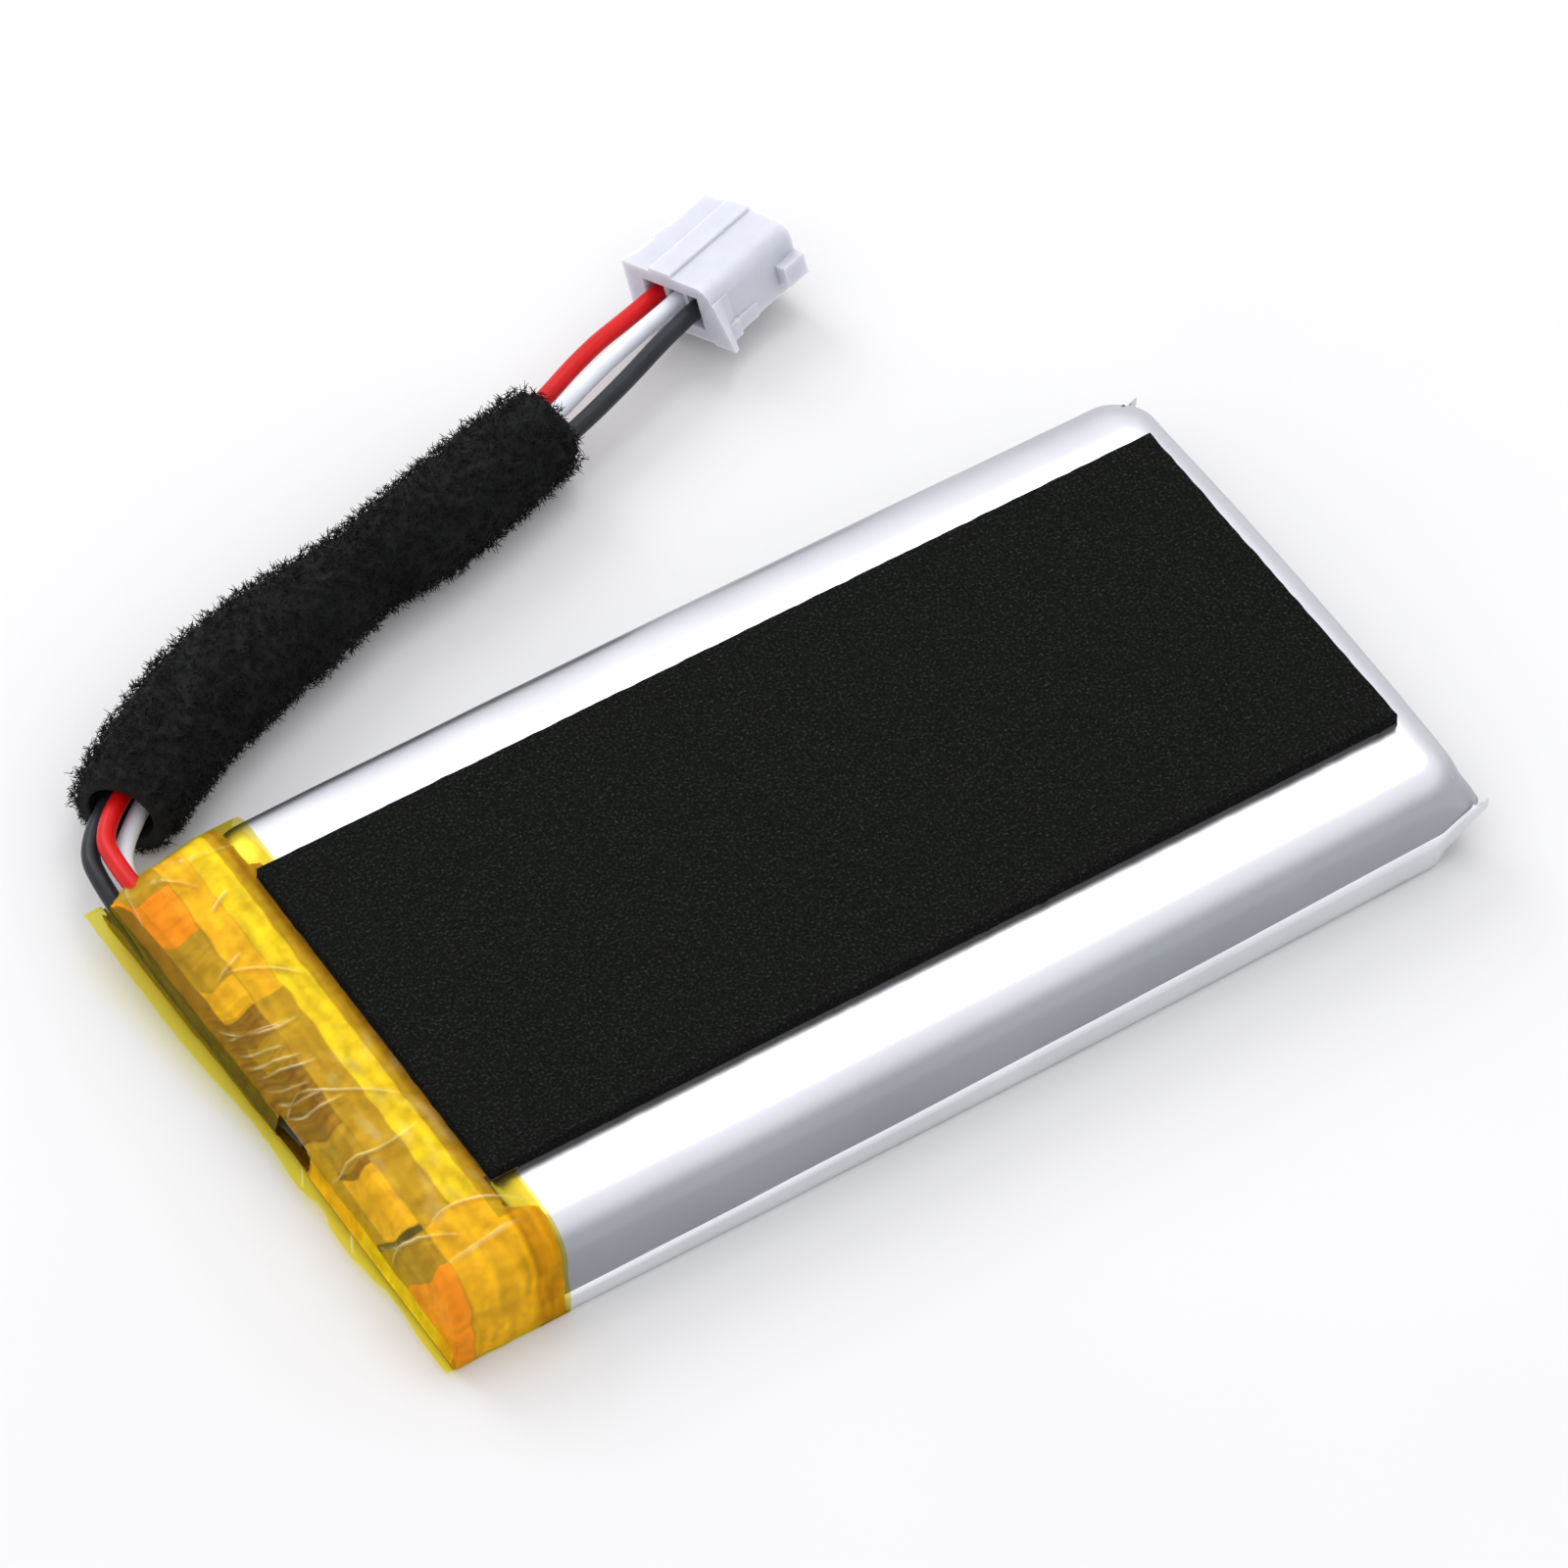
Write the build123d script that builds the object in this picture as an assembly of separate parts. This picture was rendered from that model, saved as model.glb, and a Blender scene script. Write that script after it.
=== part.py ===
from build123d import *
import math
import os

os.makedirs("parts", exist_ok=True)

# A single-cell lithium-polymer pouch pack lying flat. +X runs from the taped terminal end to the far end,
# +Y is the side where the leads come out, +Z is up. The origin is the middle of the pack's footprint, on the
# surface that it rests on.

# ---- driving dimensions (mm) ----
PACK_WIDTH = 34.0          # over the folded side seals
CELL_HEIGHT = 6.3
CELL_START = -27.55        # cup wall at the terminal end
CELL_END = 32.2            # cup wall at the far end
FILM = 0.15                # aluminium laminate
SEAL_GAP = 0.05            # between the cup wall and its folded rim
SEAL_HEIGHT = 2.0          # folded side seals, up the long sides
TOP_RADIUS = 2.2           # drawn edge of the cup
CORNER_RADIUS = 2.6        # upright corners of the cup
SEAL_END = 31.0            # the side seals stand full height up to here
EAR_START, EAR_END = 30.9, 33.2          # folded ears at the far corners
TERRACE_END = -29.4        # heat-sealed ledge that the tabs cross
JOGGLE_X = -24.75          # the back sheet rises here, by the tape's thickness
TAPE = 0.1
TAPE_EDGE = -24.95         # edge of the outer wrap, on the cell
INNER_TAPE_EDGE = -27.0
PAD_START, PAD_END, PAD_WIDTH = -26.4, 30.3, 23.7
PAD_TOP = 7.2
ADHESIVE = 0.1

HALF = PACK_WIDTH / 2
WALL_Y = HALF - 2 * FILM - SEAL_GAP      # outside of the cup's long walls
RIM_Y = HALF - FILM                      # outside of the cup's folded rim
TAPED_BASE = 2 * TAPE                    # underside of the pouch where the tape passes below it

# electrode stack
ANODE_COUNT = 6
ANODE_THICK, CATHODE_THICK, SEPARATOR_THICK = 0.4, 0.47, 0.06
STACK_BASE = 0.25
STACK_START, STACK_END = -23.9, 31.0
ANODE_HALF, SEPARATOR_HALF = 15.4, 15.7
CATHODE_INSET = 0.5
SEPARATOR_OVERHANG = 0.3   # past the anodes, at both ends

# tabs and protection board
TAB_Y = 6.5
TAB_WIDTH, TAB_THICK = 4.0, 0.1
TAB_Z = 0.42
TAB_START, TAB_END = -29.8, -25.9        # outer and inner ends of the flat of each tab
TAB_TOP = 3.0              # each tab's outer end turns up to here
TAB_FILM_HALF, TAB_FILM_THICK = 3.0, 0.25
BUNDLE_HALF = 1.8
BOARD_X0, BOARD_X1 = -30.6, -30.0
BOARD_HALF, BOARD_Z0, BOARD_Z1 = 14.6, 0.9, 5.3
NICKEL = 0.2
NICKEL_HEIGHT, NICKEL_Z = 1.8, 2.5
CARD_X0, CARD_X1 = -27.95, -27.75
CARD_HALF = 15.5

# leads, sleeve and connector
LEAD_D = 1.05
STRAND_D = 0.5
STRIP = 1.3                # bare length at the board
SLEEVE_D, SLEEVE_BORE = 5.8, 3.8
PITCH = 1.5
HOUSING_LENGTH, HOUSING_WIDTH, HOUSING_HEIGHT = 6.9, 6.3, 3.8
HOUSING_AT = (15.3, 36.95, 3.0)          # middle of its wire side
HOUSING_YAW, HOUSING_ROLL = 17.0, 16.0
LEAD_SEAT = 1.5                          # insulation ends this far inside the housing
BARE_SEAT = 2.6                          # strands end this far inside the housing


def block(x0, x1, y0, y1, z0, z1):
    return Pos((x0 + x1) / 2, (y0 + y1) / 2, (z0 + z1) / 2) * Box(x1 - x0, y1 - y0, z1 - z0)


def both_sides(x0, x1, y0, y1, z0, z1):
    return block(x0, x1, y0, y1, z0, z1) + block(x0, x1, -y1, -y0, z0, z1)


def xz_plate(outline, y0, y1):
    face = Plane.XZ.offset(-y1) * make_face(Polyline(*outline, close=True))
    return extrude(face, y1 - y0)


def save(name, *pieces):
    solids = [solid for piece in pieces for solid in piece.solids()]
    export_step(solids[0] if len(solids) == 1 else Compound(solids), f"parts/{name}.step")


# ---- pouch: a deep-drawn cup and a flat back sheet, sealed and folded up along the long sides ----
def rounded_body(inset, z0):
    body = block(CELL_START + inset, CELL_END - inset, inset - WALL_Y, WALL_Y - inset, z0, CELL_HEIGHT - inset)
    body = fillet(body.edges().filter_by(Axis.Z), CORNER_RADIUS - inset)
    return fillet(body.faces().sort_by(Axis.Z)[-1].edges(), TOP_RADIUS - inset)


def ears(y0, y1):
    outline = [(EAR_START, 0.5), (31.9, 1.0), (EAR_END, 2.5), (EAR_END - 0.3, 3.4), (31.8, SEAL_HEIGHT),
               (EAR_START, SEAL_HEIGHT)]
    return xz_plate(outline, y0, y1) + xz_plate(outline, -y1, -y0)


def tab_ways():
    base = TAPED_BASE + FILM
    return [block(TERRACE_END - 0.1, -26.6, y - TAB_FILM_HALF, y + TAB_FILM_HALF, base, base + TAB_FILM_THICK)
            for y in (TAB_Y, -TAB_Y)]


def pouch_cup():
    hollow = rounded_body(FILM, -1.0)
    walls = rounded_body(0, FILM) - hollow
    rim = block(TERRACE_END, CELL_END, -RIM_Y, RIM_Y, FILM, 2 * FILM)
    rim += both_sides(TERRACE_END, SEAL_END, RIM_Y - FILM, RIM_Y, FILM, SEAL_HEIGHT)
    rim += ears(RIM_Y - FILM, RIM_Y)
    rim += block(TERRACE_END, CELL_START + FILM, -RIM_Y, RIM_Y, FILM, TAPED_BASE + 2 * FILM)
    rim += both_sides(CELL_START, JOGGLE_X, WALL_Y - FILM, RIM_Y, FILM, TAPED_BASE + 2 * FILM)
    cup = walls + (rim - hollow)
    cup -= block(TERRACE_END - 1, JOGGLE_X, -HALF, HALF, 0, TAPED_BASE + FILM)
    for way in tab_ways():
        cup -= way
    return cup


def pouch_back():
    sheet = block(JOGGLE_X - FILM, CELL_END, -HALF, HALF, 0, FILM)
    sheet += block(JOGGLE_X - FILM, JOGGLE_X, -HALF, HALF, 0, TAPED_BASE + FILM)
    sheet += block(TERRACE_END, JOGGLE_X, -HALF, HALF, TAPED_BASE, TAPED_BASE + FILM)
    sheet += both_sides(JOGGLE_X - FILM, SEAL_END, RIM_Y, HALF, 0, SEAL_HEIGHT)
    sheet += both_sides(TERRACE_END, JOGGLE_X, RIM_Y, HALF, TAPED_BASE, SEAL_HEIGHT)
    return sheet + ears(RIM_Y, HALF)


save("pouch_cup", pouch_cup())
save("pouch_back", pouch_back())


# ---- electrode stack: anodes and cathodes in turn, with one separator folded to and fro between them ----
def electrode_stack():
    anodes, cathodes, levels = [], [], []
    plates = 2 * ANODE_COUNT - 1
    z = STACK_BASE
    for index in range(plates):
        thick = CATHODE_THICK if index % 2 else ANODE_THICK
        inset = CATHODE_INSET if index % 2 else 0.0
        half = ANODE_HALF - inset
        plate = block(STACK_START + inset, STACK_END - inset, -half, half, z, z + thick)
        (cathodes if index % 2 else anodes).append(plate)
        z += thick
        if index < plates - 1:
            levels.append(z)
            z += SEPARATOR_THICK
    return anodes, cathodes, levels


def folded_separator(levels):
    x0, x1 = STACK_START - SEPARATOR_OVERHANG, STACK_END + SEPARATOR_OVERHANG
    sheet = Part()
    for index, level in enumerate(levels):
        sheet += block(x0, x1, -SEPARATOR_HALF, SEPARATOR_HALF, level, level + SEPARATOR_THICK)
        if index + 1 < len(levels):
            side = 1 if index % 2 else -1
            y0, y1 = sorted((side * (SEPARATOR_HALF - SEPARATOR_THICK), side * SEPARATOR_HALF))
            sheet += block(x0, x1, y0, y1, level, levels[index + 1] + SEPARATOR_THICK)
    return sheet


anodes, cathodes, separator_levels = electrode_stack()
save("anode_sheets", *anodes)
save("cathode_sheets", *cathodes)
save("folded_separator", folded_separator(separator_levels))


# ---- foil bundles, tabs and their sealing films ----
def foil_bundle(y):
    under = TAB_Z + TAB_THICK
    outline = [(-24.25, 0.55), (-24.25, 5.5), (-24.6, 5.5), (TAB_END, 1.0), (-26.55, 0.72), (-26.55, under),
               (TAB_END, under)]
    return xz_plate(outline, y - BUNDLE_HALF, y + BUNDLE_HALF)


def tab(y):
    y0, y1 = y - TAB_WIDTH / 2, y + TAB_WIDTH / 2
    flat = block(TAB_START, TAB_END, y0, y1, TAB_Z, TAB_Z + TAB_THICK)
    return flat + block(TAB_START, TAB_START + TAB_THICK, y0, y1, TAB_Z, TAB_TOP)


save("cathode_foil_bundle", foil_bundle(TAB_Y))
save("anode_foil_bundle", foil_bundle(-TAB_Y))
save("positive_tab", tab(TAB_Y))
save("negative_tab", tab(-TAB_Y))
save("tab_seal_films", *[way - tab(TAB_Y) - tab(-TAB_Y) for way in tab_ways()])


# ---- protection board, standing across the terminal end ----
def on_board(depth, y, z, width, height):
    return block(BOARD_X1, BOARD_X1 + depth, y - width / 2, y + width / 2, z - height / 2, z + height / 2)


MOSFET_AT, IC_AT = (0.0, 3.2), (-11.0, 3.1)
RESISTORS_AT = [(10.0, 1.7), (12.4, 1.7)]
CAPACITORS_AT = [(10.0, 4.6), (12.4, 4.6)]
THERMISTOR_AT = (11.2, 3.15)
CHIP_LENGTH, CHIP_WIDTH, CHIP_CAP = 1.6, 0.8, 0.3
RESISTOR_DEPTH, THERMISTOR_DEPTH, CAPACITOR_DEPTH = 0.45, 0.6, 0.8
MOSFET_SIZE = (1.05, 4.4, 3.0)           # out from the board, along it, up it
IC_SIZE = (1.1, 2.9, 1.6)
PIN_WIDTH, PIN_DEPTH = 0.3, 0.25


def chip_body(y, z, depth):
    return on_board(depth, y, z, CHIP_LENGTH - 2 * CHIP_CAP, CHIP_WIDTH)


def chip_ends(y, z, depth):
    offset = (CHIP_LENGTH - CHIP_CAP) / 2
    return [on_board(depth, y + side * offset, z, CHIP_CAP, CHIP_WIDTH) for side in (-1, 1)]


def gull_pins(y, z, half_body, reach, count, pitch, upright):
    pins = []
    for side in (-1, 1):
        for index in range(count):
            along = (index - (count - 1) / 2) * pitch
            across = side * (half_body + reach / 2)
            at = (y + along, z + across) if upright else (y + across, z + along)
            size = (PIN_WIDTH, reach) if upright else (reach, PIN_WIDTH)
            pins.append(on_board(PIN_DEPTH, *at, *size))
    return pins


save("protection_board", block(BOARD_X0, BOARD_X1, -BOARD_HALF, BOARD_HALF, BOARD_Z0, BOARD_Z1))
save("nickel_pads", *[on_board(NICKEL, y, NICKEL_Z, TAB_WIDTH + 0.6, NICKEL_HEIGHT) for y in (TAB_Y, -TAB_Y)])
save("mosfet", on_board(MOSFET_SIZE[0], *MOSFET_AT, *MOSFET_SIZE[1:]))
save("protection_chip", on_board(IC_SIZE[0], *IC_AT, *IC_SIZE[1:]))
mosfet_pins = gull_pins(*MOSFET_AT, MOSFET_SIZE[1] / 2, 0.9, 4, 0.65, False)
save("chip_pins", *mosfet_pins, *gull_pins(*IC_AT, IC_SIZE[2] / 2, 0.6, 3, 0.95, True))
save("chip_resistors", *[chip_body(*at, RESISTOR_DEPTH) for at in RESISTORS_AT])
save("chip_capacitors", *[chip_body(*at, CAPACITOR_DEPTH) for at in CAPACITORS_AT])
save("thermistor", chip_body(*THERMISTOR_AT, THERMISTOR_DEPTH))
chip_caps = [cap for at in RESISTORS_AT for cap in chip_ends(*at, RESISTOR_DEPTH)]
chip_caps += [cap for at in CAPACITORS_AT for cap in chip_ends(*at, CAPACITOR_DEPTH)]
save("chip_end_caps", *chip_caps, *chip_ends(*THERMISTOR_AT, THERMISTOR_DEPTH))
save("insulating_card", block(CARD_X0, CARD_X1, -CARD_HALF, CARD_HALF, 0.75, BOARD_Z1))

# ---- polyimide tape: an inner and an outer wrap over the terminal end, pinched into a fin beyond it ----
# Section of the space inside the tape at its two long sides, from its top edge round the end to its bottom edge.
TAPE_NEAR = [(-23.9, 6.3), (-27.2, 6.3), (-31.0, 5.55), (-31.6, 4.9), (-31.9, 1.2), (-31.9, 0.2), (-23.9, 0.2)]
TAPE_FAR = [(-23.9, 6.3), (-27.2, 6.3), (-31.0, 5.6), (-32.4, 4.9), (-33.3, 3.6), (-32.9, 0.2), (-23.9, 0.2)]
LEAD_WINDOW = (-33.2, -30.5, 16.5, 17.5, 2.4, 5.1)
FIN_NEAR = [(-32.6, 0.25), (-31.6, 0.25), (-31.6, 0.45), (-32.6, 0.45)]
FIN_FAR = [(-33.85, 2.6), (-32.9, 2.6), (-32.9, 2.8), (-33.85, 2.8)]


def grown(points, distance):
    result = []
    for before, here, after in zip(points[-1:] + points[:-1], points, points[1:] + points[:1]):
        arriving = (Vector(*here) - Vector(*before)).normalized()
        leaving = (Vector(*after) - Vector(*here)).normalized()
        outward = Vector(arriving.Y + leaving.Y, -arriving.X - leaving.X)
        moved = Vector(*here) + outward * (2 * distance / outward.length ** 2)
        result.append((moved.X, moved.Y))
    return result


def side_to_side(near, far, half):
    ends = [Wire.make_polygon([Vector(x, y, z) for x, z in points], close=True)
            for points, y in ((near, -half), (far, half))]
    return Solid.make_loft(ends, True)


def tape_volume(layers):
    grow = layers * TAPE
    body = side_to_side(grown(TAPE_NEAR, grow), grown(TAPE_FAR, grow), HALF + 1)
    half = HALF + grow
    section = block(-36, -24.5, -half, half, TAPED_BASE - grow, CELL_HEIGHT + grow)
    top_edges = section.edges().filter_by(Axis.X).sort_by(Axis.Z)[-2:]
    return body & fillet(top_edges, TOP_RADIUS + grow)


def inner_tape():
    wrap = tape_volume(1) - tape_volume(0) - block(INNER_TAPE_EDGE, -20, -20, 20, -1, 10)
    return wrap - block(*LEAD_WINDOW)


def outer_tape():
    wrap = tape_volume(2) - tape_volume(1) - block(INNER_TAPE_EDGE + TAPE, -20, -20, 20, -1, 10)
    edge = tape_volume(1) - tape_volume(0) - block(TAPE_EDGE, -20, -20, 20, -1, 10)
    edge -= block(-36, INNER_TAPE_EDGE, -20, 20, -1, 10)
    fin = side_to_side(FIN_NEAR, FIN_FAR, HALF + 2 * TAPE) - tape_volume(1)
    return wrap + edge + fin - block(*LEAD_WINDOW)


save("inner_tape_wrap", inner_tape())
save("outer_tape_wrap", outer_tape())


# ---- foam pad on its adhesive, lapping over the tape's edge ----
def stepped_line(z, riser_x):
    return [(PAD_END, z), (riser_x, z), (riser_x, z + TAPE), (PAD_START, z + TAPE)]


adhesive_under = stepped_line(CELL_HEIGHT, TAPE_EDGE + TAPE)
adhesive_top = stepped_line(CELL_HEIGHT + ADHESIVE, TAPE_EDGE + 2 * TAPE)
pad_top = [(PAD_END, PAD_TOP), (PAD_START, PAD_TOP)]
save("pad_adhesive", xz_plate(adhesive_under + adhesive_top[::-1], -PAD_WIDTH / 2, PAD_WIDTH / 2))
save("foam_pad", xz_plate(adhesive_top + pad_top[::-1], -PAD_WIDTH / 2, PAD_WIDTH / 2))


# ---- connector frame ----
def connector_plane():
    yaw, roll = math.radians(HOUSING_YAW), math.radians(HOUSING_ROLL)
    forward = Vector(math.cos(yaw), math.sin(yaw), 0)
    right = Vector(math.sin(yaw), -math.cos(yaw), 0)
    up = Vector(0, 0, 1) * math.cos(roll) - right * math.sin(roll)
    return Plane(origin=HOUSING_AT, x_dir=forward, z_dir=up)


CONNECTOR = connector_plane()


def in_connector(x, y):
    return CONNECTOR.from_local_coords(Vector(x, y, 0))


# ---- leads: from the board, out through the tape, along the sleeve and into the connector ----
SLEEVE_ROUTE = [(-29.0, 21.9, 2.9), (-25.0, 24.8, 2.9), (-18.6, 27.5, 2.9), (-11.0, 29.0, 2.9),
                (-3.2, 30.8, 2.9), (4.45, 32.98, 2.9)]
RED_ROUTE = [(-31.15, 9.8, 4.45), (-31.3, 13.6, 4.6), (-31.5, 17.4, 4.4), (-30.9, 21.0, 3.8),
             (-24.9, 24.63, 3.7), (-18.66, 27.69, 3.7), (-11.15, 29.68, 3.4), (-3.47, 31.86, 3.1),
             (4.14, 34.25, 2.9), (9.3, 36.45, 3.2)]
WHITE_ROUTE = [(-31.15, 14.2, 3.0), (-31.2, 17.4, 3.1), (-29.9, 20.4, 2.6), (-24.6, 24.1, 2.65),
               (-18.3, 26.54, 3.0), (-10.87, 28.41, 3.5), (-3.18, 30.7, 3.5), (4.5, 33.0, 3.2),
               (9.3, 34.95, 3.3)]
BLACK_ROUTE = [(-31.2, -1.4, 1.5), (-31.6, 3.4, 1.3), (-32.1, 10.2, 2.0), (-32.5, 17.3, 3.3),
               (-31.8, 21.2, 3.1), (-25.4, 25.5, 2.45), (-18.66, 27.69, 2.1), (-10.9, 28.51, 2.2),
               (-2.95, 29.83, 2.6), (4.86, 31.75, 2.8), (9.8, 33.3, 3.2)]
LAST_RUN = 3.2


def lead_points(route, cavity):
    inside = [in_connector(LEAD_SEAT - LAST_RUN, cavity), in_connector(LEAD_SEAT, cavity)]
    return [Vector(*p) for p in route] + inside


def bend_radii(points):
    radii = []
    for before, here, after in zip(points, points[1:], points[2:]):
        half_turn = math.radians((here - before).get_angle(after - here)) / 2
        shorter = min((here - before).length, (after - here).length)
        radii.append(0.45 * shorter / math.tan(half_turn))
    return radii


def tube(points, diameter, name):
    radii = bend_radii(points)
    path = FilletPolyline(*points, radius=radii)
    round_face = Plane(origin=points[0], z_dir=points[1] - points[0]) * Circle(diameter / 2)
    solid = sweep(round_face, path=path)
    ideal = math.pi * diameter ** 2 / 4 * path.length
    print(f"{name}: length {path.length:.1f}, volume over ideal {solid.volume / ideal:.4f}")
    print("   radii", [round(r, 1) for r in radii])
    return solid


LEADS = {"red_lead": (RED_ROUTE, PITCH), "white_lead": (WHITE_ROUTE, 0.0), "black_lead": (BLACK_ROUTE, -PITCH)}
for name, (route, cavity) in LEADS.items():
    save(name, tube(lead_points(route, cavity), LEAD_D, name))

sleeve_points = [Vector(*p) for p in SLEEVE_ROUTE]
sleeve_bore = tube(sleeve_points, SLEEVE_BORE, "sleeve bore")
save("foam_sleeve", tube(sleeve_points, SLEEVE_D, "foam_sleeve") - sleeve_bore)


# ---- stripped ends, their solder and the pads under them ----
def board_end(route):
    x, y, z = route[0]
    strand = Pos(x, y - STRIP / 2, z) * Rot(90, 0, 0) * Cylinder(STRAND_D / 2, STRIP)
    pad = block(BOARD_X0 - 0.05, BOARD_X0, y - 1.7, y - 0.1, z - 0.6, z + 0.6)
    blob = block(x - 0.4, BOARD_X0 - 0.05, y - 1.55, y - 0.2, z - 0.5, z + 0.5)
    outer_edges = blob.faces().sort_by(Axis.X)[0].edges()
    return strand, pad, fillet(outer_edges, 0.2) - strand


ends = [board_end(route) for route, cavity in LEADS.values()]
save("stripped_ends", *[end[0] for end in ends])
save("solder_pads", *[end[1] for end in ends])
save("solder_joints", *[end[2] for end in ends])


# ---- three-way connector: housing and crimped terminals ----
def flare(reach_low, reach_high, z0, z1):
    """The side wall opening out towards the wire side, more at the bottom than at the top."""
    half_w = HOUSING_WIDTH / 2
    sections = []
    for z, reach in ((z0, reach_low), (z1, reach_high)):
        outline = [(0, 0.5 - half_w), (0, -half_w - reach), (0.3, -half_w - reach), (0.75, -half_w - reach * 0.4),
                   (1.4, -half_w - reach * 0.05), (1.6, 0.5 - half_w)]
        sections.append(Plane.XY.offset(z) * make_face(Polyline(*outline, close=True)))
    return loft(sections)


def housing():
    half_w, half_h = HOUSING_WIDTH / 2, HOUSING_HEIGHT / 2
    body = block(0, HOUSING_LENGTH, -half_w, half_w, -half_h, half_h)
    top_edges = body.edges().filter_by(Axis.X).sort_by(Axis.Z)[-2:]
    body = fillet(top_edges.sort_by(Axis.Y)[0], 1.0)
    rib = block(0, HOUSING_LENGTH, -0.25, 1.4, half_h - 0.2, half_h + 0.25)
    body += fillet(rib.edges().filter_by(Axis.X).sort_by(Axis.Z)[-2:], 0.15)
    body += flare(1.05, 0.15, -half_h - 0.1, half_h - 0.9)
    body += mirror(flare(0.38, 0.38, -half_h, half_h), Plane.XZ)
    body += block(0.2, 1.5, -half_w - 0.3, 0.5 - half_w, -half_h - 0.1, -0.9)
    body += block(1.5, 3.1, -half_w - 0.12, 0.5 - half_w, -half_h, -1.0)
    body += block(HOUSING_LENGTH - 1.7, HOUSING_LENGTH, -half_w - 0.7, 0.5 - half_w, -1.3, 0.1)
    body += block(2.4, 3.4, half_w - 0.5, half_w + 0.2, 0.6, half_h)
    body -= block(-0.1, 0.35, -2.1, 2.1, -1.1, 1.1)
    for cavity in (-PITCH, 0.0, PITCH):
        body -= block(-0.1, 5.6, cavity - 0.6, cavity + 0.6, -1.1, 1.1)
        body -= block(5.0, HOUSING_LENGTH + 1, cavity - 0.35, cavity + 0.35, -0.35, 0.35)
    return body


def ring(x0, x1, inner, outer):
    turned = Pos((x0 + x1) / 2, 0, 0) * Rot(0, 90, 0)
    return turned * (Cylinder(outer, x1 - x0) - Cylinder(inner, x1 - x0))


def terminal():
    receptacle = block(3.0, 5.4, -0.55, 0.55, -0.65, 0.65) - block(2.9, 5.5, -0.43, 0.43, -0.53, 0.53)
    floor = block(0.8, 3.1, -0.3, 0.3, -0.65, -0.53)
    insulation_barrel = ring(0.8, 1.4, LEAD_D / 2, LEAD_D / 2 + 0.06)
    wire_barrel = ring(1.9, 2.5, STRAND_D / 2, STRAND_D / 2 + 0.12)
    leg = block(1.9, 2.5, -0.12, 0.12, -0.6, -0.3)
    return receptacle + floor + insulation_barrel + wire_barrel + leg


def inner_strand(cavity):
    middle = Pos((LEAD_SEAT + BARE_SEAT) / 2, cavity, 0)
    return middle * Rot(0, 90, 0) * Cylinder(STRAND_D / 2, BARE_SEAT - LEAD_SEAT)


cavities = [cavity for route, cavity in LEADS.values()]
place = CONNECTOR.location
save("connector_housing", place * housing())
save("crimp_terminals", *[place * Pos(0, cavity, 0) * terminal() for cavity in cavities])
save("crimped_strands", *[place * inner_strand(cavity) for cavity in cavities])
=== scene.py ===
import math

import bpy
import numpy as np
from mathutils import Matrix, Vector, noise


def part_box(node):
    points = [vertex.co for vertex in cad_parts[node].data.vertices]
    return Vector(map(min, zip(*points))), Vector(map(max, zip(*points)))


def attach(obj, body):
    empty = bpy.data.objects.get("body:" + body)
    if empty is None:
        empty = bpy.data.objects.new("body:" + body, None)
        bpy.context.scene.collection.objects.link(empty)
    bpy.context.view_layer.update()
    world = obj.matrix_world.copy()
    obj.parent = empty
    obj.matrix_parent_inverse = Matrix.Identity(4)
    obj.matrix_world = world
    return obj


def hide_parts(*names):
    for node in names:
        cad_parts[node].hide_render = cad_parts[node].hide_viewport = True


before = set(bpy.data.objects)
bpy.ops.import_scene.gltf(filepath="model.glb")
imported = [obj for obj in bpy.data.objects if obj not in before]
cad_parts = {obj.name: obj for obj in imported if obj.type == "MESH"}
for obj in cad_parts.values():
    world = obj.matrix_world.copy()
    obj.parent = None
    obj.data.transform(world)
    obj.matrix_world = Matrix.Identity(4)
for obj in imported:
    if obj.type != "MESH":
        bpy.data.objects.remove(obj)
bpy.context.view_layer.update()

# Everything below is in millimetres, in the row frame: +X from the taped end to the far end, +Y the side of
# the leads, +Z up. Points turn into metres when a mesh or a curve is made.
MM = 0.001


def box_mm(node):
    low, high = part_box(node)
    return np.array(low) / MM, np.array(high) / MM


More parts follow.
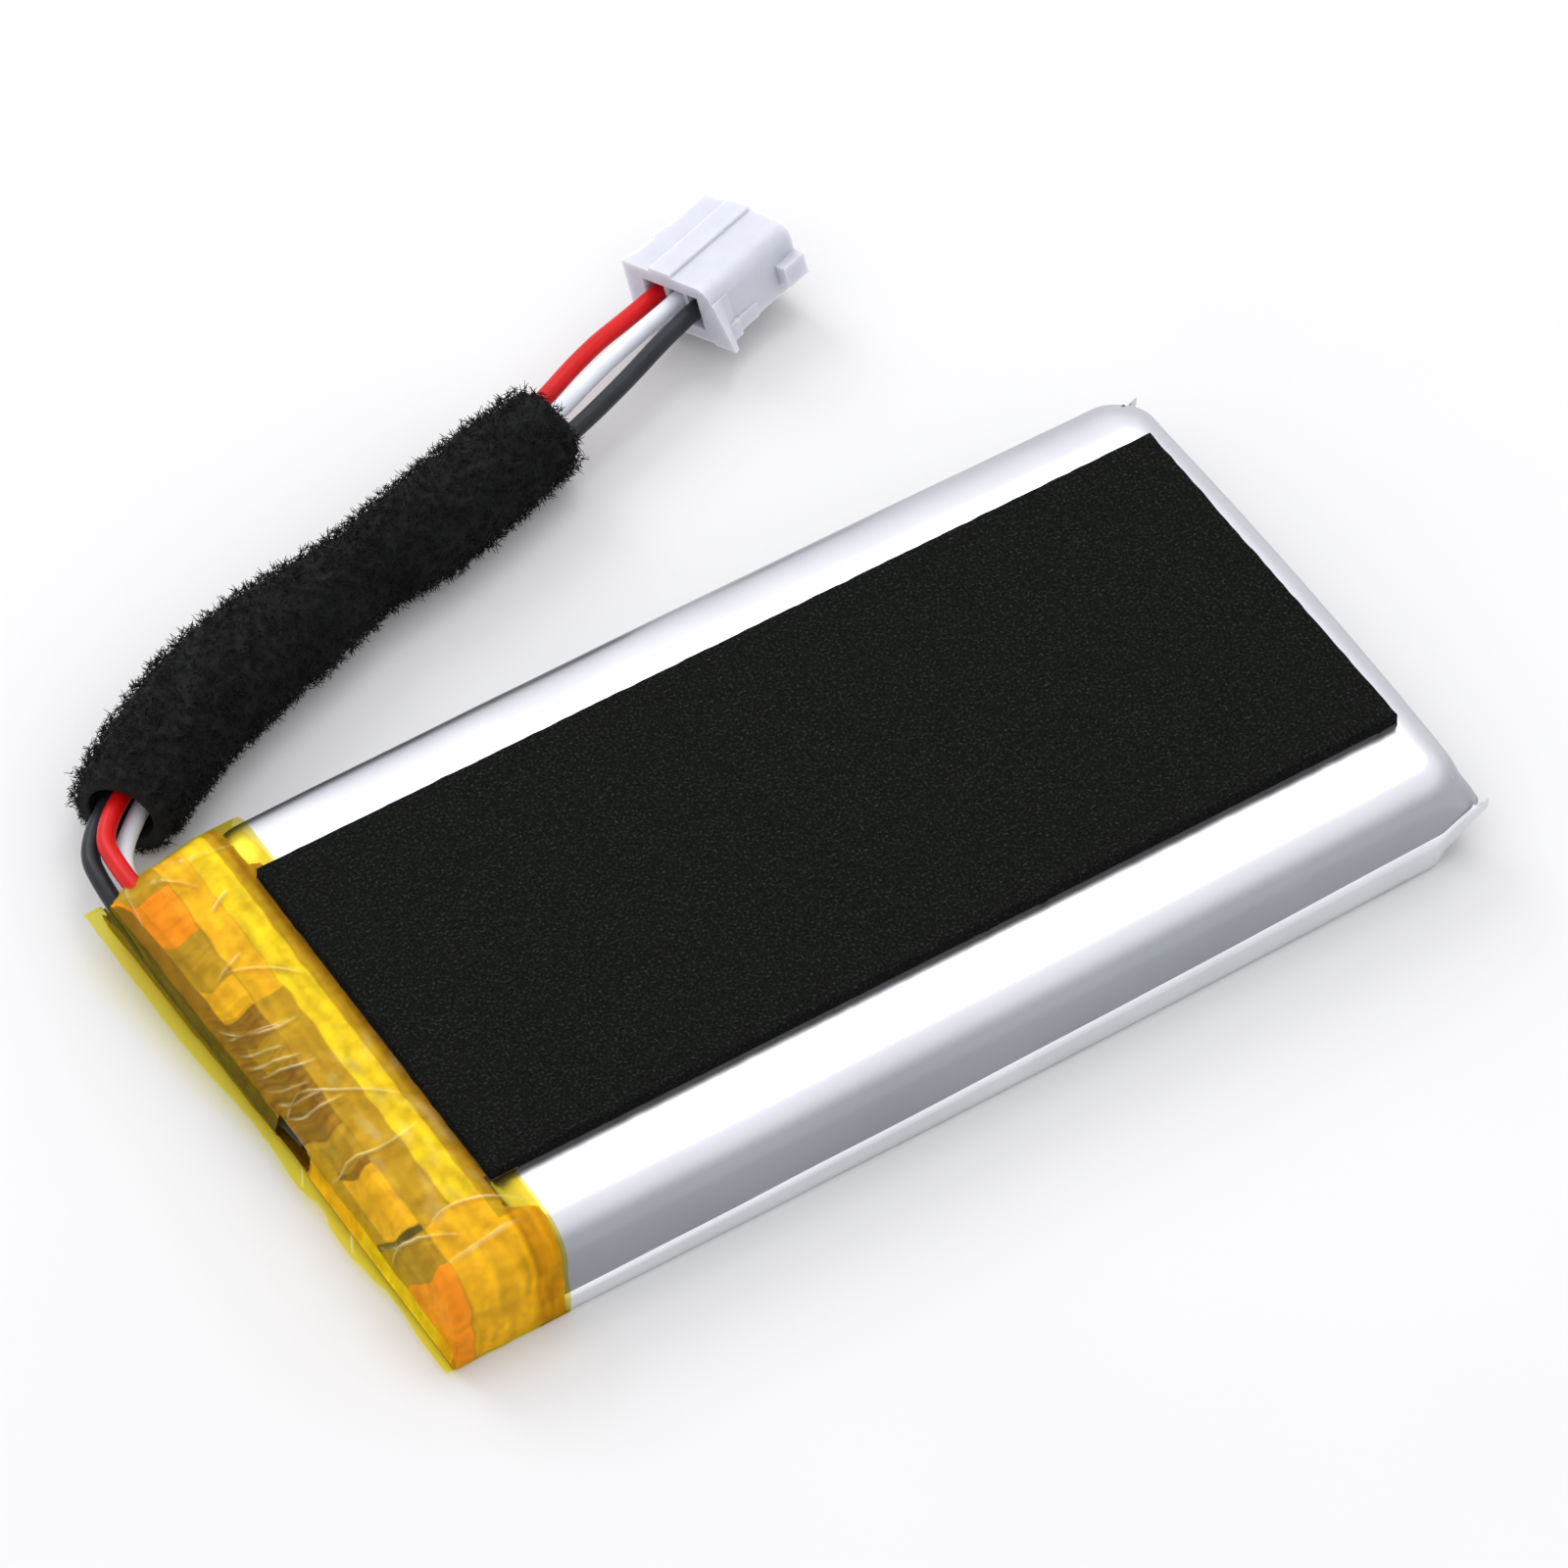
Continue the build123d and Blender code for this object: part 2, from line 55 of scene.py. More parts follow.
# ---- shader building
class Shader:
    """One material, with short calls that add its nodes. Object coordinates are the row frame, in metres."""

    def __init__(self, name):
        self.material = bpy.data.materials.new(name)
        self.material.use_nodes = True
        self.nodes = self.material.node_tree.nodes
        self.links = self.material.node_tree.links
        self.nodes.clear()
        self.place = self.nodes.new("ShaderNodeTexCoord").outputs["Object"]

    def put(self, socket, value):
        if isinstance(value, bpy.types.NodeSocket):
            self.links.new(value, socket)
        else:
            socket.default_value = value

    def add(self, kind, values, **settings):
        node = self.nodes.new("ShaderNode" + kind)
        for key, value in settings.items():
            setattr(node, key, value)
        for key, value in values.items():
            self.put(node.inputs[key], value)
        return node

    def stretched(self, factors):
        return self.add("VectorMath", {0: self.place, 1: factors}, operation="MULTIPLY").outputs[0]

    def noise(self, size, detail=3.0, stretch=None):
        """Noise with features of about that size in mm."""
        place = self.stretched(stretch) if stretch else self.place
        values = {"Vector": place, "Scale": 1 / (size * MM), "Detail": detail}
        return self.add("TexNoise", values).outputs["Fac"]

    def cells(self, size):
        return self.add("TexVoronoi", {"Vector": self.place, "Scale": 1 / (size * MM)}).outputs["Distance"]

    def span(self, source, low, high):
        """Source, from 0 to 1, turned into low to high."""
        return self.add("MapRange", {"Value": source, "To Min": low, "To Max": high}).outputs["Result"]

    def ramp(self, source, *stops):
        node = self.add("ValToRGB", {"Fac": source})
        elements = node.color_ramp.elements
        while len(elements) < len(stops):
            elements.new(0.5)
        for element, (position, colour) in zip(elements, stops):
            element.position = position
            element.color = (*colour, 1)
        return node.outputs["Color"]

    def mix(self, share, first, second):
        node = self.add("Mix", {"Factor": share}, data_type="RGBA")
        colours = [socket for socket in node.inputs if socket.type == "RGBA"]
        self.put(colours[0], first)
        self.put(colours[1], second)
        return next(socket for socket in node.outputs if socket.type == "RGBA")

    def maths(self, operation, a, b):
        return self.add("Math", {0: a, 1: b}, operation=operation).outputs[0]

    def bump(self, height, depth, under=None):
        """A bump whose relief is depth in mm, over another bump if one is given."""
        values = {"Height": height, "Distance": depth * MM}
        if under is not None:
            values["Normal"] = under
        return self.add("Bump", values).outputs["Normal"]

    def attribute(self, name):
        return self.add("Attribute", {}, attribute_name=name).outputs["Fac"]

    def finish(self, **sockets):
        """The Principled shader, with sockets such as Base_Color, on the material's output."""
        values = {key.replace("_", " "): value for key, value in sockets.items()}
        principled = self.add("BsdfPrincipled", values)
        self.show(principled.outputs[0])
        return self.material

    def show(self, shader):
        self.links.new(shader, self.add("OutputMaterial", {}).inputs["Surface"])


def grey(level):
    return (level, level, level)


def two_tone(name, dark, light, size, rough, relief, metal=0.0):
    """A plain finish: two shades in soft patches, uneven roughness and a fine relief in mm."""
    shader = Shader(name)
    colour = shader.ramp(shader.noise(size), (0.35, dark), (0.65, light))
    roughness = shader.span(shader.noise(size * 0.6), rough - 0.07, rough + 0.07)
    normal = shader.bump(shader.noise(size * 0.15), relief)
    return shader.finish(Base_Color=colour, Roughness=roughness, Normal=normal, Metallic=metal)


# ---- finishes
def laminate_finish():
    """Aluminium under clear nylon, bright on the flat top. Down the drawn walls the colour is darker, painted
    shade for the dim floor that they reflect; the seal strips are milky and rougher, their lighter colour a
    painted reflection. The mesh's drawn and seal attributes mark them."""
    shader = Shader("aluminium_laminate")
    cloud = shader.noise(9.0)
    flat = shader.ramp(cloud, (0.3, (0.63, 0.635, 0.665)), (0.7, (0.67, 0.675, 0.7)))
    # Painted shade: the walls' colour is darker than the top's, standing in for the dim floor that they
    # reflect.
    wall = shader.ramp(cloud, (0.3, (0.36, 0.375, 0.405)), (0.7, (0.4, 0.415, 0.445)))
    # Painted reflection: the seal strips are lighter than the walls, standing in for the brighter things they
    # reflect; their extra roughness is real.
    seal_painted_reflection = shader.ramp(cloud, (0.3, (0.7, 0.72, 0.73)), (0.7, (0.76, 0.78, 0.79)))
    colour = shader.mix(shader.attribute("drawn"), flat, wall)
    colour = shader.mix(shader.attribute("seal"), colour, seal_painted_reflection)
    rough = shader.span(shader.noise(2.5, 3.0), 0.27, 0.34)
    rough = shader.maths("ADD", rough, shader.span(shader.attribute("seal"), 0.0, 0.15))
    normal = shader.bump(shader.noise(1.6, 2.0, (0.06, 1.0, 1.0)), 0.0012)
    normal = shader.bump(shader.noise(0.5, 1.0), 0.0004, normal)
    return shader.finish(Base_Color=colour, Roughness=rough, Normal=normal, Metallic=1.0)


def pad_finish():
    shader = Shader("black_foam_pad")
    speck = shader.noise(0.16, 4.0)
    colour = shader.ramp(speck, (0.42, (0.004, 0.0045, 0.004)), (0.58, (0.008, 0.009, 0.0075)),
                         (0.76, (0.03, 0.031, 0.03)))
    skin = shader.bump(shader.cells(0.22), 0.035)
    return shader.finish(Base_Color=colour, Roughness=0.93, Normal=shader.bump(speck, 0.03, skin),
                         Specular_IOR_Level=0.03)


def sleeve_finish():
    shader = Shader("black_open_foam")
    patch = shader.noise(0.5, 4.0)
    colour = shader.ramp(patch, (0.35, (0.001, 0.0012, 0.001)), (0.7, (0.007, 0.008, 0.007)))
    rough = shader.span(shader.noise(0.3), 0.7, 0.95)
    normal = shader.bump(patch, 0.1)
    return shader.finish(Base_Color=colour, Roughness=rough, Normal=normal, Specular_IOR_Level=0.25)


def insulation_finish(name, shade, lighter):
    shader = Shader(name)
    colour = shader.ramp(shader.noise(1.8), (0.3, shade), (0.7, lighter))
    rough = shader.span(shader.noise(0.5), 0.32, 0.46)
    normal = shader.bump(shader.noise(0.25, 2.0), 0.006)
    return shader.finish(Base_Color=colour, Roughness=rough, Normal=normal, Specular_IOR_Level=0.2)


def housing_finish():
    shader = Shader("white_nylon")
    colour = shader.ramp(shader.noise(1.5), (0.3, (0.5, 0.51, 0.57)), (0.7, (0.53, 0.54, 0.6)))
    rough = shader.span(shader.noise(0.4), 0.38, 0.5)
    return shader.finish(Base_Color=colour, Roughness=rough, Normal=shader.bump(shader.noise(0.18), 0.004),
                         Subsurface_Weight=0.8, Subsurface_Scale=0.0012, Subsurface_Radius=(1.0, 0.9, 0.9))


def film_finish(name, rough, painted_sheen):
    """Thin glossy tape. The mesh's shade attribute is its colour and its haze attribute the share of light
    that the film itself sends back, its colour whitened towards cream by the painted sheen, a painted
    highlight; the rest passes through, tinted."""
    shader = Shader(name)
    shade = shader.add("Attribute", {}, attribute_name="shade").outputs["Color"]
    mottle = shader.ramp(shader.noise(1.1, 3.0), (0.34, (0.86, 0.8, 0.7)), (0.6, (1.0, 1.0, 1.0)))
    body = shader.add("VectorMath", {0: shade, 1: mottle}, operation="MULTIPLY").outputs[0]
    # Painted highlight: the light the film sends back is whitened towards a pale cream by the painted sheen.
    body = shader.mix(painted_sheen, body, (1.0, 0.95, 0.75, 1.0))
    tint = shader.add("Gamma", {"Color": shade, "Gamma": 0.5}).outputs[0]
    cloud = shader.span(shader.noise(0.9, 2.0), 0.6, 1.4)
    share = shader.maths("MULTIPLY", shader.attribute("haze"), cloud)
    share = shader.span(share, 0.0, 0.97)
    crinkle = shader.bump(shader.noise(0.8, 3.0), 0.045)
    crinkle = shader.bump(shader.noise(0.25, 2.0), 0.006, crinkle)
    clear = shader.add("BsdfTransparent", {"Color": tint}).outputs[0]
    film = {"Base Color": body, "Roughness": rough, "Normal": crinkle, "Specular IOR Level": 0.3}
    solid = shader.add("BsdfPrincipled", film).outputs[0]
    shader.show(shader.add("MixShader", {0: share, 1: clear, 2: solid}).outputs[0])
    return shader.material


def make_finishes():
    return {
        "laminate": laminate_finish(),
        "pad_foam": pad_finish(),
        "sleeve_foam": sleeve_finish(),
        "red_insulation": insulation_finish("red_insulation", (0.46, 0.003, 0.004), (0.55, 0.006, 0.007)),
        "white_insulation": insulation_finish("white_insulation", (0.62, 0.64, 0.7), (0.7, 0.72, 0.78)),
        "black_insulation": insulation_finish("black_insulation", (0.012, 0.014, 0.017),
                                              (0.02, 0.022, 0.027)),
        "housing": housing_finish(),
        "terminal": two_tone("tin_bronze", (0.52, 0.4, 0.24), (0.66, 0.52, 0.33), 0.8, 0.3, 0.004, 1.0),
        # The outer film's body colour goes 0.6 of the way to the painted highlight's cream.
        "tape": film_finish("polyimide_film", 0.12, 0.6),
        "tape_folds": film_finish("polyimide_folds", 0.25, 0.0),
        "adhesive": two_tone("black_adhesive", (0.02, 0.02, 0.018), (0.04, 0.038, 0.035), 1.2, 0.5, 0.01),
        "anode": two_tone("graphite_coating", grey(0.02), grey(0.045), 0.8, 0.8, 0.01),
        "cathode": two_tone("oxide_coating", grey(0.03), grey(0.06), 0.8, 0.75, 0.01),
        "separator": two_tone("porous_film", (0.78, 0.79, 0.8), (0.86, 0.87, 0.88), 1.5, 0.6, 0.004),
        "copper_foil": two_tone("copper_foil", (0.72, 0.34, 0.2), (0.85, 0.45, 0.3), 1.0, 0.35, 0.01, 1.0),
        "aluminium_foil": two_tone("aluminium_foil", grey(0.72), grey(0.85), 1.0, 0.35, 0.01, 1.0),
        "nickel": two_tone("nickel_strip", (0.6, 0.57, 0.52), (0.72, 0.69, 0.63), 0.8, 0.3, 0.006, 1.0),
        "tab_film": two_tone("sealing_film", (0.55, 0.5, 0.4), (0.68, 0.62, 0.5), 0.8, 0.4, 0.01),
        "board": two_tone("board_mask", (0.05, 0.03, 0.015), (0.09, 0.055, 0.025), 1.0, 0.4, 0.008),
        "chip": two_tone("moulded_epoxy", grey(0.012), grey(0.03), 0.4, 0.6, 0.006),
        "ceramic": two_tone("fired_ceramic", (0.36, 0.25, 0.16), (0.5, 0.36, 0.25), 0.3, 0.5, 0.004),
        "tin": two_tone("plated_tin", grey(0.7), grey(0.85), 0.3, 0.3, 0.004, 1.0),
        "solder": two_tone("solder_alloy", grey(0.55), grey(0.75), 0.3, 0.25, 0.01, 1.0),
        "card": two_tone("fish_paper", (0.32, 0.26, 0.16), (0.42, 0.35, 0.23), 1.0, 0.8, 0.02),
        "tinned_copper": two_tone("tinned_strand", (0.6, 0.58, 0.55), (0.8, 0.77, 0.72), 0.2, 0.3, 0.02, 1.0),
    }


FINISHES = make_finishes()


# ---- meshes
def make_mesh(name, points, faces, finish):
    """A smooth-shaded object from points in mm."""
    mesh = bpy.data.meshes.new(name)
    mesh.from_pydata((np.asarray(points, float) * MM).tolist(), [], faces)
    mesh.materials.append(finish)
    mesh.polygons.foreach_set("use_smooth", [True] * len(mesh.polygons))
    mesh.update()
    piece = bpy.data.objects.new(name, mesh)
    bpy.context.scene.collection.objects.link(piece)
    return piece


def stand_in(piece, nodes):
    """The piece rides on the one body and stands for the CAD nodes, which it hides."""
    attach(piece, "root")
    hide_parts(*nodes)


def sheet_faces(rows, columns, closed=False, first=0):
    """Quads of a sheet of points, row after row; closed joins each row's last point to its first."""
    wide = columns if closed else columns - 1
    faces = []
    for row in range(rows - 1):
        here, above = first + row * columns, first + (row + 1) * columns
        for column in range(wide):
            after = (column + 1) % columns
            faces.append((here + column, here + after, above + after, above + column))
    return faces


def wobble(points, size, seed=0.0):
    """Smooth noise from -1 to 1 at each point, with features of about that size in mm."""
    return np.array([noise.noise(Vector((x / size + seed, y / size, z / size))) for x, y, z in points])


def smooth_step(value, low, high):
    share = np.clip((np.asarray(value, float) - low) / (high - low), 0, 1)
    return share * share * (3 - 2 * share)


def set_attribute(mesh, name, values):
    attribute = mesh.attributes.new(name, "FLOAT", "POINT")
    attribute.data.foreach_set("value", np.asarray(values, np.float32).ravel())


# ---- pouch
SHOULDER = 2.2             # radius of the cup's drawn edge
CORNER = 2.6               # plan radius of its upright corners
FAR_EASE = 1.2             # the far long edge is drawn this much more gently
BOW = 0.22                 # the long walls bulge this far in the middle
END_BOW = 0.38             # and the far end this far
END_FOLD = 1.8             # radius at the foot of the far end, where the sheet folds under
EAR_LEVEL, EAR_SPREAD = 3.0, 1.1         # the far corners run out into the ears about this height
EAR_REACH = 0.55           # and this far
EAR_CORNER = 1.3           # plan radius where a side seal turns into its ear
CUP_LOW, CUP_HIGH = box_mm("pouch_cup")
BACK_LOW = box_mm("pouch_back")[0]
CELL_TOP = CUP_HIGH[2]
CELL_START, CELL_END = -27.55, 32.2      # the cup's end walls
WALL = 16.65                             # y of its long walls


def bowed(x, y):
    """The long walls' y, pushed out in the middle of their length."""
    along = np.clip((x - (CELL_START + CELL_END) / 2) / ((CELL_END - CELL_START) / 2), -1, 1)
    return y + np.sign(y) * BOW * (1 - along ** 2) * smooth_step(np.abs(y), WALL * 0.5, WALL)


def end_bowed(x, y):
    """The far end's x, pushed out in the middle of the width."""
    return x + END_BOW * (1 - (y / WALL) ** 2) * smooth_step(x, CELL_END - 9, CELL_END)


def plan_ring(inset, x0=CELL_START, x1=CELL_END, radius=CORNER):
    """The cup's rounded outline in plan, that far inside its wall, anticlockwise from the far +Y corner."""
    radius = max(radius - inset, 0.25)
    x0, x1, half = x0 + inset, x1 - inset, WALL - inset
    centres = [(x1 - radius, half - radius), (x0 + radius, half - radius),
               (x0 + radius, radius - half), (x1 - radius, radius - half)]
    long_side, short_side, arc_steps = 110, 50, 12
    steps = [long_side, short_side, long_side, short_side]
    ring = []
    for quarter, (centre, count) in enumerate(zip(centres, steps)):
        for step in range(arc_steps + 1):
            angle = math.radians(90 * (quarter + step / arc_steps))
            ring.append((centre[0] + radius * math.cos(angle), centre[1] + radius * math.sin(angle)))
        after = centres[(quarter + 1) % 4]
        turn = math.radians(90 * (quarter + 1))
        start = np.array(ring[-1])
        end = np.array(after) + radius * np.array([math.cos(turn), math.sin(turn)])
        ring += [tuple(start + (end - start) * step / count) for step in range(1, count)]
    return np.array(ring)


def foil_ripple(points):
    """The foil's slow unevenness, with soft dents where it was drawn round the upright corners."""
    x, y = points[:, 0], points[:, 1]
    ripple = 0.02 * wobble(points, 7.0) + 0.004 * wobble(points, 2.2, 5.0)
    corner = smooth_step(np.abs(y), WALL - 4.5, WALL - 1.0) * smooth_step(x, CELL_END - 5.0, CELL_END - 1.2)
    ripple += 0.08 * corner * wobble(points * [1, 1, 0.35], 2.4, 9.0)
    return ripple


def cup_surface():
    """Rings from the foot of the wall to the middle of the top. The sheet folds under at the foot of the far
    end, and its corners run out to a point at the level of the ears."""
    wall_levels = [0.15, 0.6, 1.2, 1.8, 2.4, 3.0, 3.6]
    top_insets = [2.6, 3.1, 3.8, 4.6, 5.6, 7.5, 10.0, 13.0, 15.5]
    edge_steps = 12
    profile = [(0.0, level) for level in wall_levels]
    for step in range(edge_steps + 1):
        angle = math.radians(90 * step / edge_steps)
        profile.append((SHOULDER * (1 - math.cos(angle)), CELL_TOP - SHOULDER * (1 - math.sin(angle))))
    profile += [(inset, CELL_TOP) for inset in top_insets]
    rows = []
    for inset, level in profile:
        ear = math.exp(-((level - EAR_LEVEL) / EAR_SPREAD) ** 2)
        fold = max(END_FOLD - level, 0.0)
        tuck = END_FOLD - math.sqrt(END_FOLD ** 2 - fold ** 2)
        ring = plan_ring(inset, x1=CELL_END - tuck + 0.1 * ear, radius=CORNER - 1.7 * ear)
        corner = smooth_step(ring[:, 0], CELL_END - 3.0, CELL_END)
        corner = corner * smooth_step(np.abs(ring[:, 1]), 14.0, WALL)
        ring[:, 0] += EAR_REACH * ear * corner
        ring[:, 0] = end_bowed(ring[:, 0], ring[:, 1])
        ring[:, 1] = bowed(ring[:, 0], ring[:, 1])
        ring[:, 1] -= FAR_EASE * smooth_step(inset, 0.0, SHOULDER) * smooth_step(ring[:, 1], 0.0, 10.0)
        rows.append(np.column_stack([ring, np.full(len(ring), level)]))
    return np.array(rows)


def outward(rows):
    """Unit normals of a closed stack of rings."""
    around = np.roll(rows, -1, 1) - np.roll(rows, 1, 1)
    up = np.gradient(rows, axis=0)
    normal = np.cross(around, up)
    return normal / np.maximum(np.linalg.norm(normal, axis=2, keepdims=True), 1e-9)


def ear_heights(x):
    """A side seal's lower and upper edge at x: it rises and narrows into the ear past the far corner."""
    low = np.interp(x, [29.5, 31.3, 32.2, 32.9], [0.0, 1.6, 2.3, 2.9])
    high = np.interp(x, [CELL_START, -22.0, 20.0, 30.2, 31.6, 32.9], [1.1, 1.15, 1.95, 2.15, 3.0, 3.6])
    return low, high


def seal_strip(side, y_gap, x0, x1, top_trim):
    """One folded side seal: it leans on the wall at the top, and stands off and curls under at the bottom."""
    xs = np.linspace(x0, x1, 260)
    low, high = ear_heights(xs)
    high = high - top_trim
    rows = []
    # How far it stands off, in mm, at shares of its height.
    leans = [(0.0, -0.25), (0.04, 0.05), (0.1, 0.2), (0.2, 0.22), (0.4, 0.17), (0.7, 0.08), (0.95, 0.0),
             (1.0, 0.0)]
    past = np.clip(xs - (CELL_END - EAR_CORNER), 0, EAR_CORNER)
    inset = EAR_CORNER - np.sqrt(EAR_CORNER ** 2 - past ** 2)
    closing = (y_gap + 0.06 + inset) * (1 - smooth_step(xs, CELL_END - 0.4, CELL_END + 0.1))
    for number, (share, lean) in enumerate(leans):
        height = low + (high - low) * share
        ease = 1 - smooth_step(xs, 29.5, 30.6)
        closes = closing * (number == len(leans) - 1)
        y = side * (WALL + y_gap + lean * ease - closes + 0.12 * smooth_step(xs, 31.0, 33.0))
        rows.append(np.column_stack([xs, bowed(xs, y), height]))
    points = np.array(rows)
    flat = points.reshape(-1, 3)
    flat[:, 1] += side * 0.012 * wobble(flat * [1, 1, 0.3], 6.0, 3.0 * side)
    flat[:, 2] += 0.05 * wobble(flat * [1, 0, 0], 7.0, 7.0 * side) * smooth_step(flat[:, 2], 0.7, 1.2)
    flat[:, 2] = np.maximum(flat[:, 2], 0.01)
    return points


def make_foil(name, rows, sheets):
    """Laminate: a stack of closed rings with a cap on the last, and separate sheets of rows by columns."""
    number, count = rows.shape[:2]
    faces = sheet_faces(number, count, True)
    faces.append(tuple(range((number - 1) * count, number * count)))
    points = rows.reshape(-1, 3)
    for sheet in sheets:
        faces += sheet_faces(*sheet.shape[:2], False, len(points))
        points = np.vstack([points, sheet.reshape(-1, 3)])
    foil = make_mesh(name, points, faces, FINISHES["laminate"])
    seal = np.arange(len(points)) >= number * count
    # The seal attribute marks the seal strips, for their rougher finish and their painted reflection.
    set_attribute(foil.data, "seal", seal)
    # The drawn attribute puts the painted shade on the walls, darker down from the top.
    set_attribute(foil.data, "drawn", smooth_step(CELL_TOP - points[:, 2], 0.02, 1.3) * ~seal)
    return foil


def make_cup():
    rows = cup_surface()
    ripple = foil_ripple(rows.reshape(-1, 3)).reshape(rows.shape[:2])
    rows = rows + outward(rows) * (ripple - 0.025)[:, :, None]
    sheets = [seal_strip(side, 0.04, CUP_LOW[0], 32.6, 0.08) for side in (1, -1)]
    ledge_x = np.linspace(CUP_LOW[0], CELL_START, 8)
    ledge_y = np.linspace(-WALL - 0.2, WALL + 0.2, 60)
    sheets.append(np.array([[(x, y, 0.5) for y in ledge_y] for x in ledge_x]))
    stand_in(make_foil("pouch_cup_foil", rows, sheets), ["pouch_cup"])


def make_back():
    """The flat sheet underneath, its edge turned up a little and raised where the tape laps it."""
    ring = plan_ring(-0.2, x0=BACK_LOW[0], x1=CELL_END - 1.5)
    ring[:, 0] = end_bowed(ring[:, 0], ring[:, 1])
    ring[:, 1] = bowed(ring[:, 0], ring[:, 1])
    centre = ring.mean(0)
    # Scales of the outline, and heights, from its turned-up edge to the middle.
    levels = [(1.0, 0.16), (0.999, 0.06), (0.994, 0.012), (0.97, 0.0), (0.8, 0.0), (0.5, 0.0), (0.1, 0.0)]
    rows = [np.column_stack([centre + (ring - centre) * scale, np.full(len(ring), z)]) for scale, z in levels]
    rows = np.array(rows)
    rows[:, :, 2] += 0.2 * (1 - smooth_step(rows[:, :, 0], -25.3, -24.5))
    points = rows.reshape(-1, 3)
    slack = 0.03 * smooth_step(np.abs(points[:, 1]), 8, 14)
    points[:, 2] += slack * (wobble(points * [1, 1, 0], 5.0, 2.0) + 1)
    sheets = [seal_strip(side, 0.12, BACK_LOW[0], 32.9, 0.0) for side in (1, -1)]
    stand_in(make_foil("pouch_back_foil", rows, sheets), ["pouch_back"])


# ---- foam pad
def make_pad():
    """A die-cut slab of foam: level top, slightly ragged edges and barely rounded arrises."""
    low, high = box_mm("foam_pad")
    middle, half = (low + high) / 2, (high - low) / 2
    columns, rows = 190, 80
    edge = 0.07
    # The top is a grid; its border, anticlockwise, is the ring that the sides are made of.
    border = [(0, column) for column in range(columns)]
    border += [(row, columns - 1) for row in range(1, rows - 1)]
    border += [(rows - 1, column) for column in reversed(range(columns))]
    border += [(row, 0) for row in reversed(range(1, rows - 1))]
    at_row, at_column = np.array(border).T
    along, across = np.linspace(-1, 1, columns), np.linspace(-1, 1, rows)
    ring = np.column_stack([along[at_column], across[at_row]])
    inward = -np.sign(ring) * (np.abs(ring) == 1)
    ring = middle[:2] + ring * half[:2]
    ragged = wobble(np.column_stack([ring, np.zeros(len(ring))]), 0.9, 4.0)
    ring = ring + inward * np.maximum(0.03 + 0.06 * ragged, -0.02)[:, None]
    levels = [(0.0, low[2] - 0.08), (-0.01, low[2]), (0.0, high[2] - 0.2), (0.0, high[2] - edge),
              (edge * 0.4, high[2] - edge * 0.4), (edge, high[2])]
    sides = np.array([np.column_stack([ring + inward * inset, np.full(len(ring), z)]) for inset, z in levels])
    faces = sheet_faces(len(levels), len(ring), True)
    faces.append(tuple(range(len(ring)))[::-1])

    top = np.full((rows, columns, 3), high[2])
    top[at_row, at_column] = sides[-1]
    share, part = (along + 1) / 2, (across[:, None] + 1) / 2
    top[:, :, 0] = top[:, :1, 0] * (1 - share) + top[:, -1:, 0] * share
    top[:, :, 1] = top[:1, :, 1] * (1 - part) + top[-1:, :, 1] * part
    inside = top[1:-1, 1:-1].reshape(-1, 3)
    inside[:, 2] += 0.012 * wobble(inside, 0.5, 1.0) + 0.02 * wobble(inside, 6.0, 2.0) - 0.02
    number = np.empty((rows, columns), int)
    number[at_row, at_column] = np.arange(len(ring)) + (len(levels) - 1) * len(ring)
    number[1:-1, 1:-1] = np.arange(len(inside)).reshape(rows - 2, columns - 2) + len(levels) * len(ring)
    corners = [number[:-1, :-1], number[:-1, 1:], number[1:, 1:], number[1:, :-1]]
    faces += np.stack(corners, 2).reshape(-1, 4).tolist()
    pad = make_mesh("foam_pad_slab", np.vstack([sides.reshape(-1, 3), inside]), faces, FINISHES["pad_foam"])
    stand_in(pad, ["foam_pad"])


# ---- cords
LEAD_D = 1.05
HOUSING_AT = (15.3, 36.95, 3.0)          # middle of the housing's wire side
HOUSING_YAW, HOUSING_ROLL = math.radians(17.0), math.radians(16.0)
PITCH = 1.5                              # from one cavity of the housing to the next
LEAD_SEAT = 1.5                          # a lead's insulation ends this far inside the housing
LAST_RUN = 3.2                           # its straight run up to there
RED_ROUTE = [(-31.15, 9.8, 4.45), (-31.3, 13.6, 4.6), (-31.5, 17.4, 4.4), (-30.9, 21.0, 3.8),
             (-24.9, 24.63, 3.7), (-18.66, 27.69, 3.7), (-11.15, 29.68, 3.4), (-3.47, 31.86, 3.1),
             (4.14, 34.25, 2.9), (9.3, 36.45, 3.2)]
WHITE_ROUTE = [(-31.15, 14.2, 3.0), (-31.2, 17.4, 3.1), (-29.9, 20.4, 2.6), (-24.6, 24.1, 2.65),
               (-18.3, 26.54, 3.0), (-10.87, 28.41, 3.5), (-3.18, 30.7, 3.5), (4.5, 33.0, 3.2),
               (9.3, 34.95, 3.3)]
BLACK_ROUTE = [(-31.2, -1.4, 1.5), (-31.6, 3.4, 1.3), (-32.1, 10.2, 2.0), (-32.5, 17.3, 3.3),
               (-31.8, 21.2, 3.1), (-25.4, 25.5, 2.45), (-18.66, 27.69, 2.1), (-10.9, 28.51, 2.2),
               (-2.95, 29.83, 2.6), (4.86, 31.75, 2.8), (9.8, 33.3, 3.2)]
SLEEVE_ROUTE = [(-29.0, 21.9, 2.9), (-25.0, 24.8, 2.9), (-18.6, 27.5, 2.9), (-11.0, 29.0, 2.9),
                (-3.2, 30.8, 2.9), (4.45, 32.98, 2.9)]


